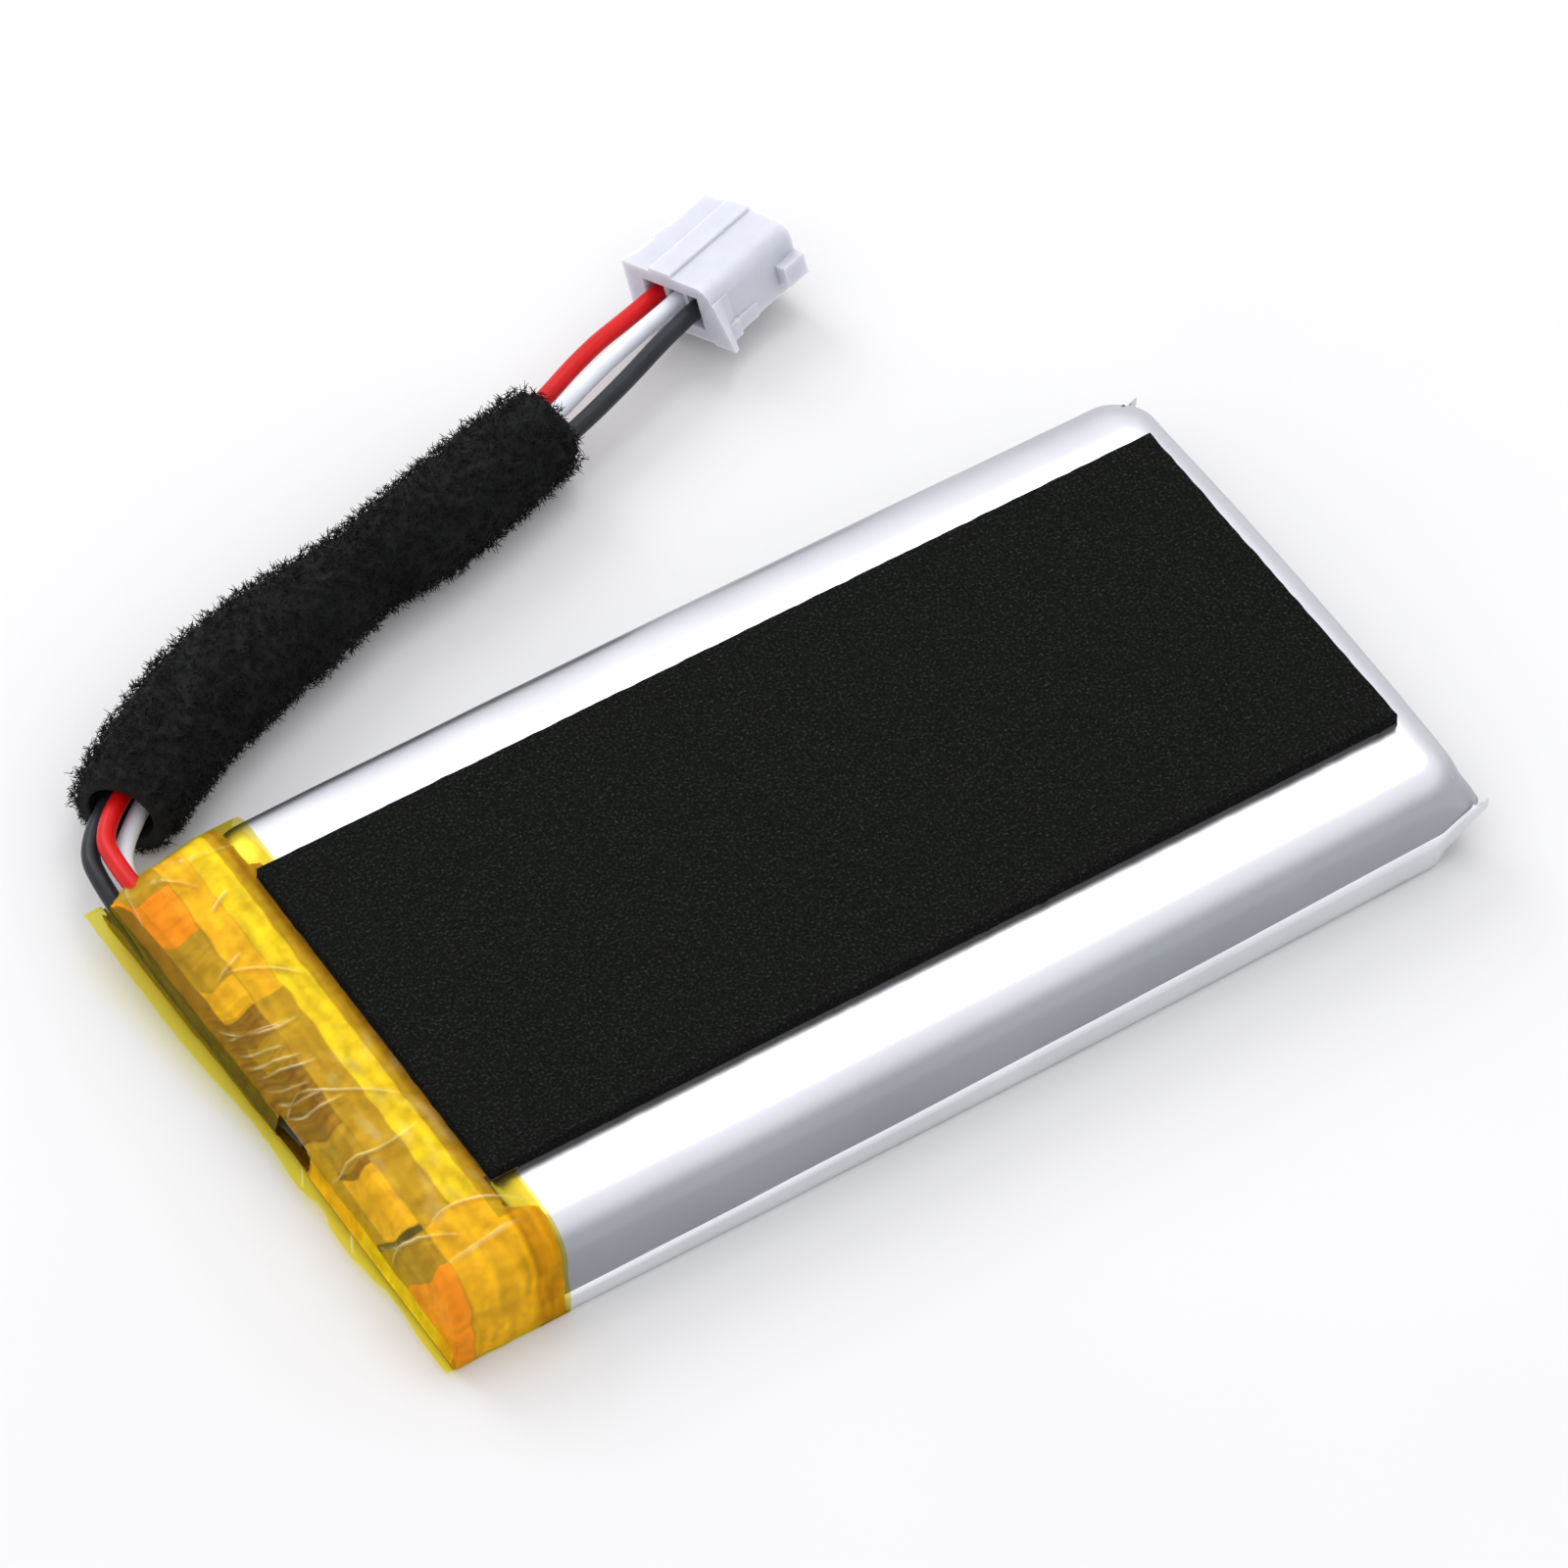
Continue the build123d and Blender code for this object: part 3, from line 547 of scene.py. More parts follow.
def into_housing(cavity):
    """A lead's last two points, straight into the cavity that is so far to the side of the middle one."""
    forward = Vector((math.cos(HOUSING_YAW), math.sin(HOUSING_YAW), 0))
    right = Vector((math.sin(HOUSING_YAW), -math.cos(HOUSING_YAW), 0))
    up = Vector((0, 0, 1)) * math.cos(HOUSING_ROLL) - right * math.sin(HOUSING_ROLL)
    mouth = Vector(HOUSING_AT) + up.cross(forward) * cavity
    return [tuple(mouth + forward * depth) for depth in (LEAD_SEAT - LAST_RUN, LEAD_SEAT)]


def route_curve(name, route):
    curve = bpy.data.curves.new(name, "CURVE")
    curve.dimensions = "3D"
    curve.resolution_u = 16
    spline = curve.splines.new("NURBS")
    spline.points.add(len(route) - 1)
    for point, place in zip(spline.points, route):
        point.co = (*(coordinate * MM for coordinate in place), 1)
    spline.order_u = 3
    spline.use_endpoint_u = True
    return curve


def make_lead(node, route):
    """One lead: a round tube along the route, in its insulation's finish, standing for its CAD node."""
    curve = route_curve(node + "_insulation", route)
    curve.bevel_depth = LEAD_D / 2 * MM
    curve.bevel_resolution = 5
    curve.use_fill_caps = True
    slot = node.replace("_lead", "_insulation")
    curve.materials.append(FINISHES[slot])
    lead = bpy.data.objects.new(node + "_wire", curve)
    bpy.context.scene.collection.objects.link(lead)
    stand_in(lead, [node])


# ---- foam sleeve
def spline_line(route):
    """Points in mm read from the route's own smooth line."""
    curve = route_curve("guide", route)
    guide = bpy.data.objects.new("guide", curve)
    mesh = bpy.data.meshes.new_from_object(guide)
    points = np.array([tuple(vertex.co) for vertex in mesh.vertices]) / MM
    bpy.data.objects.remove(guide)
    bpy.data.meshes.remove(mesh)
    bpy.data.curves.remove(curve)
    return points


def evenly(points, count):
    """The line's points again, count of them, evenly spaced along it."""
    steps = np.linalg.norm(np.diff(points, axis=0), axis=1)
    along = np.concatenate([[0], np.cumsum(steps)])
    wanted = np.linspace(0, along[-1], count)
    return np.column_stack([np.interp(wanted, along, points[:, axis]) for axis in range(3)])


def line_frames(line):
    """Tangent, sideways and upward unit vectors at each point of a line that lies nearly level."""
    tangent = np.gradient(line, axis=0)
    tangent /= np.linalg.norm(tangent, axis=1, keepdims=True)
    side = np.cross(tangent, [0, 0, 1.0])
    side /= np.linalg.norm(side, axis=1, keepdims=True)
    return tangent, side, np.cross(side, tangent)


# Outer radius at shares of its length.
SLEEVE_RADII = [(0.0, 2.75), (0.06, 3.0), (0.3, 3.2), (0.45, 2.95), (0.6, 2.55), (0.72, 2.8), (0.88, 2.8),
                (1.0, 2.55)]
SLEEVE_BORE = 1.9          # inner radius
STRUT_KNOTS, STRUT_ARMS = 11000, 3
STRUT_ROOT, STRUT_TIP = 0.032, 0.014     # a strut's radius at its knot and at its tip


def sleeve_radius(share, angle):
    """Outer radius along the sleeve; the pinch past the middle is on the side facing the pack."""
    places, radii = zip(*SLEEVE_RADII)
    radius = np.interp(share, places, radii)
    pinch = np.exp(-((share - 0.6) / 0.07) ** 2) * np.maximum(np.cos(angle), 0)
    return radius - 0.35 * pinch


def sleeve_point(line, frames, share, angle, radius):
    """Points so far from the line, at shares of its length and angles from the side facing the pack."""
    at = share * (len(line) - 1)
    index = np.minimum(at.astype(int), len(line) - 2)
    blend = (at - index)[:, None]
    tangent, side, up = (f[index] * (1 - blend) + f[index + 1] * blend for f in frames)
    out = side * np.cos(angle)[:, None] + up * np.sin(angle)[:, None]
    centre = line[index] * (1 - blend) + line[index + 1] * blend
    points = centre + out * radius[:, None]
    return points, out


def make_sleeve():
    line = evenly(spline_line(SLEEVE_ROUTE), 150)
    frames = line_frames(line)
    rings, around = 220, 110
    shares = np.linspace(0, 1, rings)
    angles = np.linspace(0, 2 * math.pi, around, endpoint=False)
    share, angle = (values.ravel() for values in np.meshgrid(shares, angles, indexing="ij"))
    points, out = sleeve_point(line, frames, share, angle, sleeve_radius(share, angle))
    lumps = 0.2 * wobble(points, 0.9, 2.0) + 0.2 * wobble(points, 0.45, 6.0) - 0.12
    points = points + out * lumps[:, None]
    mouth, _ = sleeve_point(line, frames, share, angle, np.full(len(share), SLEEVE_BORE))
    outer, inner = points.reshape(rings, around, 3), mouth.reshape(rings, around, 3)
    lips = [(outer[-1] * (1 - t) + inner[-1] * t) for t in (0.35, 0.7)]
    start_lips = [(outer[0] * t + inner[0] * (1 - t)) for t in (0.3, 0.65)]
    rows = np.concatenate([outer, np.array(lips), inner[::-1], np.array(start_lips)])
    flat = rows.reshape(-1, 3)
    flat[:, 2] = np.maximum(flat[:, 2], 0.12)
    faces = sheet_faces(len(rows), around, True)
    last = (len(rows) - 1) * around
    faces += [(last + i, last + (i + 1) % around, (i + 1) % around, i) for i in range(around)]
    tube = make_mesh("foam_sleeve_core", flat, faces, FINISHES["sleeve_foam"])
    stand_in(tube, ["foam_sleeve"])
    struts = make_struts(line, frames)
    struts.parent = tube
    return [tube, struts]


def make_struts(line, frames):
    """The cut struts of the open cells, three-sided spikes that stand out of the sleeve in threes."""
    rng = np.random.default_rng(11)
    share = rng.uniform(-0.004, 1.004, STRUT_KNOTS).clip(0, 1)
    angle = rng.uniform(0, 2 * math.pi, STRUT_KNOTS)
    radius = sleeve_radius(share, angle) + rng.normal(0.06, 0.13, STRUT_KNOTS)
    origin, out = sleeve_point(line, frames, share, angle, radius)
    origin, out = np.repeat(origin, STRUT_ARMS, 0), np.repeat(out, STRUT_ARMS, 0)
    way = rng.normal(0, 1, origin.shape) + out * 0.3
    way /= np.linalg.norm(way, axis=1, keepdims=True)
    reach = rng.uniform(0.12, 0.55, len(origin))[:, None]
    tip = origin + way * reach
    tip[:, 2] = np.maximum(tip[:, 2], 0.03)
    across = np.cross(way, rng.normal(0, 1, way.shape))
    across /= np.linalg.norm(across, axis=1, keepdims=True)
    third = np.cross(way, across)
    corners = []
    for centre, radius in ((origin, STRUT_ROOT), (tip, STRUT_TIP)):
        for turn in (0, 2 * math.pi / 3, 4 * math.pi / 3):
            corners.append(centre + (across * math.cos(turn) + third * math.sin(turn)) * radius)
    points = np.stack(corners, 1).reshape(-1, 3)
    points[:, 2] = np.maximum(points[:, 2], 0.01)
    faces = []
    for first in range(0, len(points), len(corners)):
        faces += [(first + a, first + b, first + b + 3, first + a + 3) for a, b in ((0, 1), (1, 2), (2, 0))]
    return make_mesh("foam_sleeve_struts", points, faces, FINISHES["sleeve_foam"])


# ---- tape
# Stations of the tape bag's section as (x, z), at the near side, the middle and the far side: its edge on the
# cell, the shoulder line, the end face's top edge, just below it, low on it, the fin's root and its edge.
OVER_CELL, UNDER_CELL = [(-24.95, 6.5), (-27.3, 6.5)], [(-24.95, 0.0), (-27.3, 0.0)]
TAPE_TOP = {
    -17.0: OVER_CELL + [(-31.2, 5.6), (-31.8, 4.8), (-32.0, 1.2), (-32.1, 0.5), (-32.5, 0.4)],
    0.0: OVER_CELL + [(-31.0, 5.7), (-31.4, 5.2), (-32.15, 2.0), (-32.3, 1.35), (-33.4, 1.2)],
    17.0: OVER_CELL + [(-30.8, 5.7), (-32.2, 5.0), (-33.0, 3.6), (-33.0, 2.9), (-34.1, 2.75)],
}
TAPE_UNDER = {
    -17.0: UNDER_CELL + [(-31.2, 0.0), (-31.7, 0.0), (-31.9, 0.05), (-32.1, 0.35), (-32.5, 0.33)],
    0.0: UNDER_CELL + [(-31.0, 0.0), (-31.4, 0.05), (-32.15, 0.4), (-32.3, 1.2), (-33.4, 1.12)],
    17.0: UNDER_CELL + [(-30.8, 0.0), (-32.2, 0.1), (-32.9, 1.2), (-33.0, 2.7), (-34.1, 2.67)],
}
STATION_ROWS = [0, 36, 100, 116, 172, 184, 206]      # the mesh row of each station
FIN_ROOT = 5               # the fin's first station
TAPE_HALF = 16.98
TAPE_CORNER, TAPE_FOOT = 2.3, 0.3        # radii of its upper and lower long edges, where it is thick enough
TAPE_FLARE = 0.2                         # its walls stand this much wider at the bottom, over the seals
TOP_COLUMNS, CORNER_COLUMNS = 371, 13
UPPER_COLUMNS = TOP_COLUMNS + CORNER_COLUMNS         # the top and its corner on the leads' side


def section_paths(table, stretch):
    """Each row's path across the bag: rows by ys by (x, z)."""
    sides = sorted(table)
    stations = np.array([table[side] for side in sides])
    rows = np.arange(STATION_ROWS[-1] + 1)
    paths = np.empty((len(rows), len(stretch), 2))
    for axis in range(2):
        at_sides = np.array([np.interp(rows, STATION_ROWS, stations[s, :, axis]) for s in range(len(sides))])
        for row in rows:
            paths[row, :, axis] = np.interp(stretch, sides, at_sides[:, row])
    for _ in range(6):
        paths[1:-1] = (paths[:-2] + paths[1:-1] * 2 + paths[2:]) / 4
    return paths


def tape_columns():
    """Round the bag: shares of the flat top and bottom, angles of their corners and shares of the walls."""
    flat = [("top", share, 1) for share in np.linspace(-1, 1, TOP_COLUMNS)]
    side = [("top_corner", angle) for angle in np.linspace(0, 90, CORNER_COLUMNS + 1)[1:]]
    side += [("wall", share) for share in np.linspace(0, 1, 10)[1:-1]]
    side += [("foot", angle) for angle in np.linspace(90, 0, 4)[:-1]]
    side += [("bottom", share) for share in np.linspace(1, 0, 31)]
    right = [(kind, value, 1) for kind, value in side]
    left = [(kind, value, -1) for kind, value in side[-2::-1]]
    return flat + right + left


def tape_bag():
    """The bag's points, rows by columns: one loop round the pack's end in each row."""
    stretch = np.linspace(-TAPE_HALF, TAPE_HALF, 69)
    top, under = section_paths(TAPE_TOP, stretch), section_paths(TAPE_UNDER, stretch)
    rows = np.arange(len(top))

    def across(paths, y):
        """x and z of every row's path at its own y."""
        spot = np.clip((y + TAPE_HALF) / (2 * TAPE_HALF), 0, 1) * (len(stretch) - 1)
        index = np.minimum(spot.astype(int), len(stretch) - 2)
        blend = (spot - index)[:, None]
        found = paths[rows, index] * (1 - blend) + paths[rows, index + 1] * blend
        return found.T

    bag = []
    for kind, value, side in tape_columns():
        edge = np.full(len(rows), side * TAPE_HALF)
        (top_x, top_z), (under_x, under_z) = across(top, edge), across(under, edge)
        corner = np.minimum(TAPE_CORNER, 0.45 * (top_z - under_z))
        foot = np.minimum(TAPE_FOOT, 0.2 * (top_z - under_z))
        turn = math.radians(value)
        if kind == "top":
            y = value * (TAPE_HALF - corner)
            x, z = across(top, y)
        elif kind == "top_corner":
            y = side * (TAPE_HALF - corner + corner * math.sin(turn))
            x, z = across(top, y)
            z = z - corner * (1 - math.cos(turn))
        elif kind == "wall":
            x = top_x * (1 - value) + under_x * value
            z = (top_z - corner) * (1 - value) + (under_z + foot) * value
            y = edge + side * TAPE_FLARE * smooth_step(3.0 - z, 0.0, 1.2)
        elif kind == "foot":
            y = side * (TAPE_HALF + TAPE_FLARE - foot + foot * math.sin(turn))
            x, z = under_x, under_z + foot * (1 - math.cos(turn))
        else:
            y = side * value * (TAPE_HALF + TAPE_FLARE - foot)
            x, z = across(under, y)
        bag.append(np.column_stack([x, y, z]))
    return np.stack(bag, 1)


# Creases of the tape, each one bowed line: where it starts and ends (station, y), how far its middle bows
# along Y, and its height, in mm.
CREASES = [
    ((0.5, 14.0), (2.0, 17.0), -0.5, 0.1),
    ((1.5, 13.0), (2.5, 15.0), 0.5, 0.1),
    ((2.5, 17.0), (3.5, 13.5), -1.0, 0.12),
    ((1.2, 12.0), (1.6, 11.5), 0.0, 0.24),
    ((1.6, 8.5), (2.4, 7.5), 0.0, 0.24),
    ((1.0, 4.5), (2.0, 7.5), 0.5, 0.12),
    ((1.5, 3.0), (3.7, 6.5), -1.0, 0.2),
    ((0.8, -5.5), (3.8, -0.5), 1.5, 0.16),
    ((1.0, -6.5), (3.8, -5.0), -0.5, 0.15),
    ((0.2, -14.0), (1.8, -12.5), 1.0, 0.15),
    ((1.5, -14.0), (3.8, -11.0), 0.5, 0.14),
    ((1.9, -12.5), (3.8, -9.5), -0.5, 0.16),
    ((0.5, -16.0), (1.9, -16.0), -1.0, 0.12),
    ((5.9, -3.5), (5.0, -2.5), 0.0, 0.14),
    ((5.9, -8.5), (5.0, -7.5), 0.0, 0.14),
]
RIB_GAP, RIB_LEAN = 1.0, 2.5             # the ribs pulled across the end face
for rib in range(-3, 4):
    CREASES.append(((1.6 + 0.15 * (rib % 3), RIB_GAP * rib), (3.7, RIB_GAP * rib + RIB_LEAN), -0.3, 0.14))
CREASE_HALF = 0.11         # half width of a crease


def station_rows(stations):
    return np.interp(stations, range(len(STATION_ROWS)), STATION_ROWS)


def crease_field(bag):
    """How far each point of the bag stands out for the creases, in mm, and how strong a painted highlight it
    gets, the nearer the top of a crease the more.
    """
    relief, painted_crest_highlight = np.zeros(bag.shape[:2]), np.zeros(bag.shape[:2])
    top = bag[:, :UPPER_COLUMNS]
    fine = np.linspace(0, 1, 80)
    for start, end, bow, height in CREASES:
        first_row, last_row = station_rows([start[0], end[0]])
        rows = first_row + (last_row - first_row) * fine
        ys = start[1] + (end[1] - start[1]) * fine + 4 * bow * fine * (1 - fine)
        ys = ys + 0.4 * wobble(np.column_stack([rows * 0.06, 0 * ys + bow, 0 * ys + start[1]]), 3.0, 61.0)
        fade = np.minimum(np.minimum(fine, 1 - fine) * 5, 1.0)
        first, last = max(int(rows.min()) - 16, 0), int(rows.max()) + 17
        near = top[first:last]
        distance = np.full(near.shape[:2], 9.0)
        strength = np.zeros(near.shape[:2])
        for row, y, much in zip(rows, ys, fade):
            low, part = int(row), row % 1
            path = top[low] * (1 - part) + top[low + 1] * part
            point = [np.interp(y, path[:, 1], path[:, axis]) for axis in range(3)]
            gap = np.linalg.norm(near - point, axis=2)
            closer = gap < distance
            distance[closer] = gap[closer]
            strength[closer] = much
        block = np.s_[first:first + len(near), :UPPER_COLUMNS]
        relief[block] += height * strength * np.exp(-(distance / CREASE_HALF) ** 2)
        # Painted highlight along the top of each crease, narrower than the crease itself.
        painted_glint = height / 0.16 * strength * np.exp(-(distance / (0.6 * CREASE_HALF)) ** 2)
        painted_crest_highlight[block] = np.maximum(painted_crest_highlight[block], painted_glint)
    return relief, painted_crest_highlight


def patch(stations, ys, place, soft=(0.03, 0.14)):
    """A rectangle of stations and ys on the tape, from 0 to 1; place holds each point's own."""
    station, y = place
    inside = smooth_step(station, stations[0] - soft[0], stations[0] + soft[0])
    inside = inside * (1 - smooth_step(station, stations[1] - soft[0], stations[1] + soft[0]))
    inside = inside * smooth_step(y, ys[0] - soft[1], ys[0] + soft[1])
    return inside * (1 - smooth_step(y, ys[1] - soft[1], ys[1] + soft[1]))


def keep_faces(faces, keep):
    """The faces whose corners are all kept."""
    return [face for face in faces if all(keep[corner] for corner in face)]


def compact(points, faces, *values):
    """Only the points that the faces use, the faces renumbered, and those points' own values."""
    used = sorted({corner for face in faces for corner in face})
    renumber = {old: new for new, old in enumerate(used)}
    faces = [tuple(renumber[corner] for corner in face) for face in faces]
    return points[used], faces, *(value[used] for value in values)


def set_shade(mesh, shade, haze):
    attribute = mesh.attributes.new("shade", "FLOAT_COLOR", "POINT")
    colours = np.column_stack([shade, np.ones(len(shade))]).astype(np.float32)
    attribute.data.foreach_set("color", colours.ravel())
    set_attribute(mesh, "haze", haze)


# The fin's free edge was cut roughly: notches at a y, each so deep (a share of its reach) and so wide in mm.
FIN_NOTCHES = [(-12.0, 0.5, 2.0), (-5.0, 0.5, 1.0), (1.0, 0.4, 4.0)]
# The bag is open on the leads' side between these stations and heights.
MOUTH_STATIONS, MOUTH_HEIGHTS = (2.2, 4.9), (2.0, 5.3)
# An oval hole was pressed through the outer wrap above the fin: its middle and half sizes (station, y).
HOLE_AT, HOLE_HALF, HOLE_LEAN = (4.42, -1.29), (0.66, 1.45), 0.5
# The outer wrap's tint: over the end, a darker one over the bright cell, and in the fin, where it is doubled.
END_TINT, CELL_TINT, FIN_TINT = (0.99, 0.88, 0.1), (0.69, 0.52, 0.03), (1.0, 0.9, 0.14)
FILM_GAP = 0.09            # from one wrap to the other
FOLDS_HAZE = 0.93

# Tones of the tape's layers, by how many lie on each other and what is behind them, and one painted shadow.
TONES = {
    "lemon": (0.74, 0.58, 0.02),     # one layer over bright foil
    "honey": (0.74, 0.42, 0.012),    # two layers over foil
    "amber": (0.44, 0.27, 0.03),     # several layers, slack
    "orange": (0.82, 0.27, 0.008),   # a tight fold, many layers deep
    "tan": (0.38, 0.23, 0.04),       # two layers over the board
    "brown": (0.24, 0.11, 0.012),    # many layers over the board
    # Painted shadow, not a film colour: the dark, shaded space beside the leads behind the film.
    "painted_shadow": (0.07, 0.05, 0.02),     # film over the dark space beside the leads
}
# Stretches of the section, in stations: over the cell, down its slope, the brow, the end face and the skirt.
LAP, SLOPE, BROW, END, SKIRT = (0.1, 1.0), (1.0, 1.4), (1.4, 1.85), (1.87, 3.9), (3.9, 5.3)
# The folded layers under the outer wrap, each over the ones before it: stretch, y from, y to and tone. Past
# 17 mm, y goes on down the side wall.
FOLDS = [
    (LAP, -18, 18, "amber"),
    (SLOPE, -18, 18, "lemon"),
    (BROW, -18, 18, "amber"),
    (BROW, 5, 18, "honey"),
    (LAP, -26, -14, "honey"),
    (SLOPE, -26, -12, "honey"),
    (BROW, -26, -12, "honey"),
    (END, -26, 18, "brown"),
    (END, -26, -14.5, "orange"),
    (END, -14.5, -12, "tan"),
    # Painted shadow: a thin dark line along a fold.
    (END, -12, -11.5, "painted_shadow"),
    (END, -11.5, -7, "honey"),
    (END, -6.5, -4, "tan"),
    (END, 1, 3, "tan"),
    (END, 5, 7.5, "honey"),
    (END, 7.5, 9.5, "amber"),
    (END, 9.5, 11, "tan"),
    (END, 11, 14.5, "orange"),
    (END, 14.5, 18, "amber"),
    ((3.5, 3.9), -11.5, -4, "amber"),
    ((3.4, 3.9), -2, 14, "brown"),
    # Painted shadow on the skirt beside the leads.
    (SKIRT, 0, 18, "painted_shadow"),
    (SKIRT, -18, -15.5, "honey"),
    (SKIRT, -15.5, -8, "lemon"),
    (SKIRT, -8, -3, "honey"),
]


def fold_shades(place, points):
    """Colour of the folded layers, their edges a little uneven, with fine streaks down the end face: uneven
    tone, stronger over the ribs in the middle of the end face, where they are painted shade and highlight of
    the ribs.
    """
    station, y = place
    station = station + 0.04 * wobble(points, 1.3, 21.0)
    y = y - 2.0 * smooth_step(station, 2.95, 3.9) * (1 - smooth_step(station, 3.88, 3.96))
    across = np.column_stack([y, np.zeros(len(y)), station * 0.12])
    y = y + 0.25 * wobble(points, 1.4, 25.0)
    shade = np.tile(TONES["amber"], (len(y), 1))
    for stations, y_from, y_to, tone in FOLDS:
        cover = patch(stations, (y_from, y_to), (station, y), (0.02, 0.07))[:, None]
        shade = shade * (1 - cover) + np.array(TONES[tone]) * cover
    streaks = 0.7 * wobble(across, 0.38, 41.0) + 0.5 * wobble(across, 0.17, 43.0)
    # Painted shade and highlight: over the ribs the streaks grow stronger, light and dark down the ribs.
    painted_rib_shading = patch(END, (-4.5, 5.5), (station, y), (0.03, 0.8))
    strength = 0.16 + 0.5 * painted_rib_shading
    band = smooth_step(station, 1.86, 1.92)
    shade = shade * (1 + band * strength * streaks)[:, None]
    along = np.column_stack([y * 0.12, np.zeros(len(y)), station * 2.3])
    shade = shade * (1 + (1 - band) * 0.3 * wobble(along, 0.3, 47.0))[:, None]
    return shade.clip(0.001, 1)


def film_slack(flat, normals, station):
    """How far the film stands off for its own slackness, off the cell, and for the fin's ripples, in mm."""
    loose = smooth_step(station, 0.7, 1.6)
    slack = loose * (0.08 * wobble(flat, 2.4, 1.0) + 0.04 * wobble(flat, 0.9, 3.0))
    slack = slack + 0.008 * wobble(flat, 1.5)
    on_fin = smooth_step(station, 4.9, 5.4)
    ripple = 0.07 * wobble(flat * [1, 1, 0], 1.8, 8.0) * normals[:, 2]
    return slack * (1 - on_fin) + ripple * on_fin


def trim_fin(points, station, flat, shape):
    """Draws the fin's rows back towards its root, where its edge was cut."""
    reach = 0.95 + 0.08 * wobble(flat * [0, 1, 0], 0.9, 2.0)
    for at, depth, width in FIN_NOTCHES:
        reach = reach - depth * np.exp(-((flat[:, 1] - at) / width) ** 2)
    root = np.tile(points.reshape(shape)[STATION_ROWS[FIN_ROOT], :, 0], shape[0])
    points[:, 0] = np.where(station > FIN_ROOT, root + (points[:, 0] - root) * reach, points[:, 0])


def outer_shades(flat, station, painted_crest_highlight):
    """Tint and haze of the outer wrap: nearly clear, with painted highlights along the tops of its creases
    and a milky painted sheen over the brow.
    """
    place = (station, flat[:, 1])
    on_cell = (1 - smooth_step(station, 0.7, 0.9))[:, None]
    on_fin = smooth_step(station, 4.6, 5.3)[:, None]
    shade = np.array(END_TINT) * (1 - on_cell) + np.array(CELL_TINT) * on_cell
    shade = shade * (1 - on_fin) + np.array(FIN_TINT) * on_fin
    painted_crest_highlight = painted_crest_highlight * (0.65 + 0.7 * wobble(flat, 1.2, 30.0)).clip(0.1, 1.0)
    # Painted highlight: the haze rises along the tops of the creases, where the film's colour is whitened.
    haze = 0.012 + 0.012 * patch((1.0, 3.6), (-18, 18), place, (0.3, 0.5)) + 0.5 * painted_crest_highlight
    # Painted sheen: a milky patch of haze over the brow.
    painted_veil = wobble(flat * [1.0, 0.5, 1.0], 0.8, 51.0).clip(0, 1)
    return shade, haze + 0.16 * painted_veil * patch((0.6, 1.85), (-12, 0), place, (0.2, 1.0))


def make_film(name, points, faces, shade, haze, finish, node):
    points, faces, shade, haze = compact(points, faces, shade, haze)
    film = make_mesh(name, points, faces, FINISHES[finish])
    set_shade(film.data, shade, haze)
    stand_in(film, [node])


def make_tape():
    """The outer and the inner wrap, each a single film on the same bag."""
    bag = tape_bag()
    normals = outward(bag).reshape(-1, 3)
    relief, painted_crest_highlight = crease_field(bag)
    flat = bag.reshape(-1, 3)
    y, z = flat[:, 1], flat[:, 2]
    row = np.repeat(np.arange(bag.shape[0]), bag.shape[1])
    station = np.interp(row, STATION_ROWS, range(len(STATION_ROWS)))
    shift = relief.ravel() + film_slack(flat, normals, station)
    sheet = sheet_faces(bag.shape[0], bag.shape[1], True)
    mouth = (station > MOUTH_STATIONS[0]) & (station < MOUTH_STATIONS[1]) & (y > TAPE_HALF - 0.5)
    mouth = mouth & (z > MOUTH_HEIGHTS[0]) & (z < MOUTH_HEIGHTS[1])

    points = flat + normals * shift[:, None]
    trim_fin(points, station, flat, bag.shape)
    points[:, 2] = np.maximum(points[:, 2], 0.004)
    above = np.tile(np.arange(bag.shape[1]) < UPPER_COLUMNS, bag.shape[0])
    along = station - HOLE_AT[0]
    oval = (along / HOLE_HALF[0]) ** 2 + ((y - HOLE_AT[1] - HOLE_LEAN * along) / HOLE_HALF[1]) ** 4
    faces = keep_faces(sheet, ~(mouth | above & (oval < 1)))
    make_film("tape_outer_film", points, faces, *outer_shades(flat, station, painted_crest_highlight.ravel()), "tape",
              "outer_tape_wrap")

    points = flat + normals * (shift * 0.8 - FILM_GAP)[:, None]
    points[:, 2] = np.maximum(points[:, 2], 0.02)
    start = 0.3 + 0.3 * smooth_step(y, 12.5, 13.0) + 0.05 * wobble(flat, 1.5, 13.0)
    start = start + np.where(y < -11.5, 0.4 - 0.6 * smooth_step(-y, 13.5, 14.5), 0.0)
    end = np.where((y > -2.8) & (y < 0.3), 3.85, 5.05)
    faces = keep_faces(sheet, (station > start) & (station < end) & ~mouth)
    on_wall = np.abs(y) > TAPE_HALF - 0.05
    unrolled = np.where(on_wall, y + np.sign(y) * (4.5 - z).clip(0, 9), y)
    shade = fold_shades((station, unrolled), flat)
    make_film("tape_inner_film", points, faces, shade, np.full(len(flat), FOLDS_HAZE), "tape_folds",
              "inner_tape_wrap")


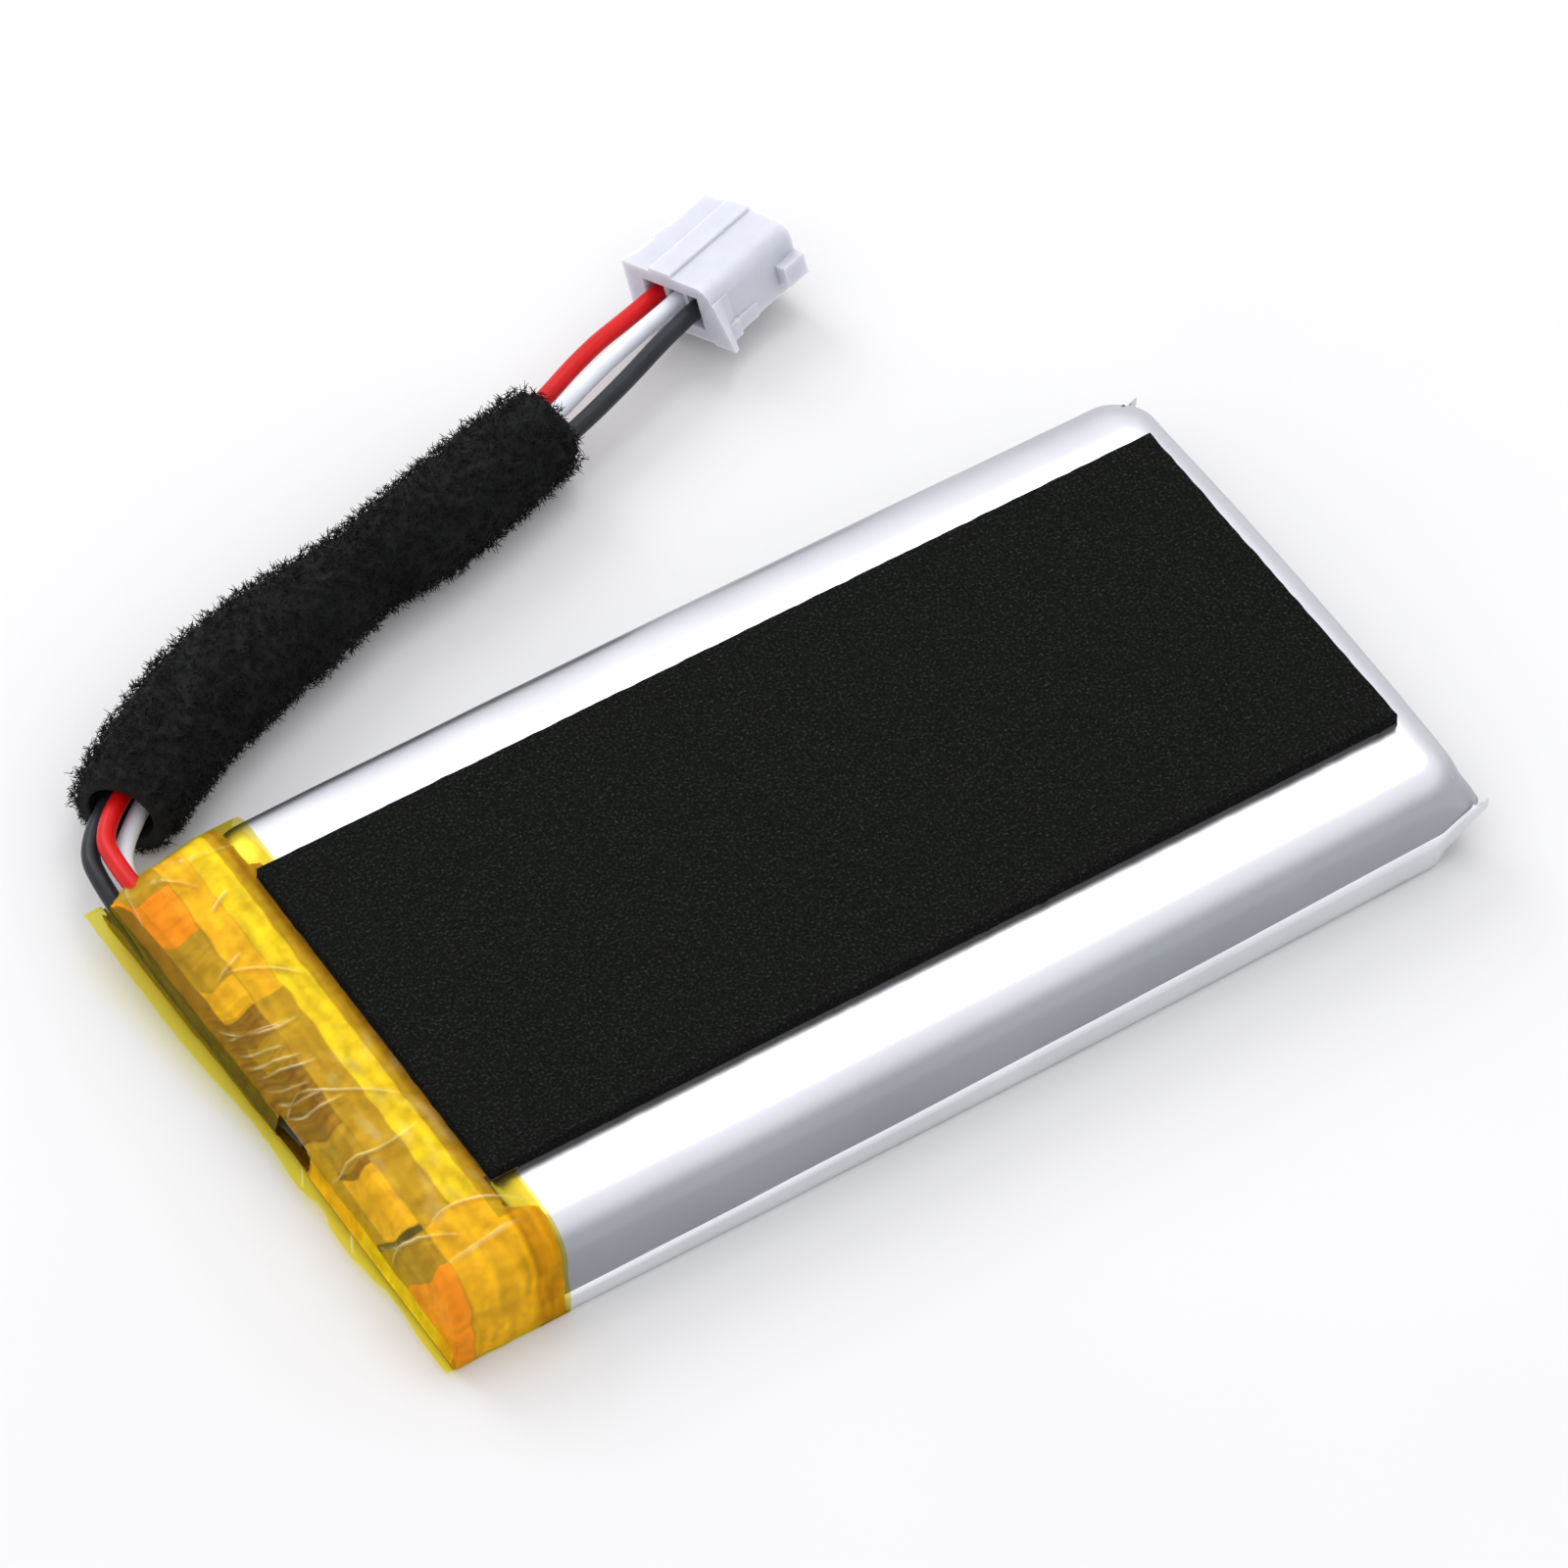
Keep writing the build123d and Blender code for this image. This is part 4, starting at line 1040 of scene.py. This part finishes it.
# ---- floor, light and camera
def make_stage():
    half = 900
    corners = [(-half, -half, 0), (half, -half, 0), (half, half, 0), (-half, half, 0)]
    finish = two_tone("pale_floor", grey(0.63), grey(0.65), 60.0, 0.9, 0.0)
    floor = make_mesh("floor", corners, [(0, 1, 2, 3)], finish)
    floor.location.z = -0.02 * MM

    world = bpy.data.worlds.new("studio")
    bpy.context.scene.world = world
    world.use_nodes = True
    nodes, links = world.node_tree.nodes, world.node_tree.links
    background = next(node for node in nodes if node.type == "BACKGROUND")
    height = nodes.new("ShaderNodeSeparateXYZ")
    links.new(nodes.new("ShaderNodeTexCoord").outputs["Generated"], height.inputs[0])
    ramp = nodes.new("ShaderNodeValToRGB")
    links.new(height.outputs["Z"], ramp.inputs["Fac"])
    elements = ramp.color_ramp.elements
    elements.new(0.3)
    elements.new(0.55)
    for element, level in zip(elements, (0.88, 1.0, 1.24, 1.28)):
        element.color = (level, level, level * 1.03, 1)
    links.new(ramp.outputs["Color"], background.inputs["Color"])

    add_softbox("overhead", (176, 155, 463), (0, 0, 0), 200, 0.45)
    add_softbox("behind", (-60, 420, 330), (0, 0, 0), 260, 0.9)


def add_softbox(name, place, target, size, power):
    light = bpy.data.lights.new(name, "AREA")
    light.size = size * MM
    light.energy = power
    lamp = bpy.data.objects.new(name, light)
    lamp.location = Vector(place) * MM
    aim = Vector(target) - Vector(place)
    lamp.rotation_euler = aim.to_track_quat("-Z", "Y").to_euler()
    bpy.context.scene.collection.objects.link(lamp)


def make_camera():
    """A long lens, from the terminal end's near corner and well above."""
    target = Vector((3.26, 6.62, 0.0)) * MM
    distance, azimuth, elevation = 528.4 * MM, math.radians(-32.53), math.radians(50.9)
    back = Vector((math.sin(azimuth) * math.cos(elevation), -math.cos(azimuth) * math.cos(elevation),
                   math.sin(elevation)))
    data = bpy.data.cameras.new("camera")
    data.lens, data.sensor_width = 225, 36
    data.clip_start, data.clip_end = 0.05, 10
    camera = bpy.data.objects.new("camera", data)
    camera.location = target + back * distance
    camera.rotation_euler = (-back).to_track_quat("-Z", "Y").to_euler()
    bpy.context.scene.collection.objects.link(camera)
    bpy.context.scene.camera = camera


# ---- assembly
def dress_cad_nodes():
    """Gives every CAD node the finish of its own material slot."""
    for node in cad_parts.values():
        for slot in node.material_slots:
            name = slot.material.name.split(".")[0]
            if name in FINISHES:
                slot.material = FINISHES[name]


make_camera()
make_stage()
dress_cad_nodes()
sleeve = make_sleeve()
make_lead("red_lead", RED_ROUTE + into_housing(PITCH))
make_lead("white_lead", WHITE_ROUTE + into_housing(0.0))
make_lead("black_lead", BLACK_ROUTE + into_housing(-PITCH))
make_cup()
make_back()
make_pad()
make_tape()
bpy.context.scene.view_settings.view_transform = "Standard"
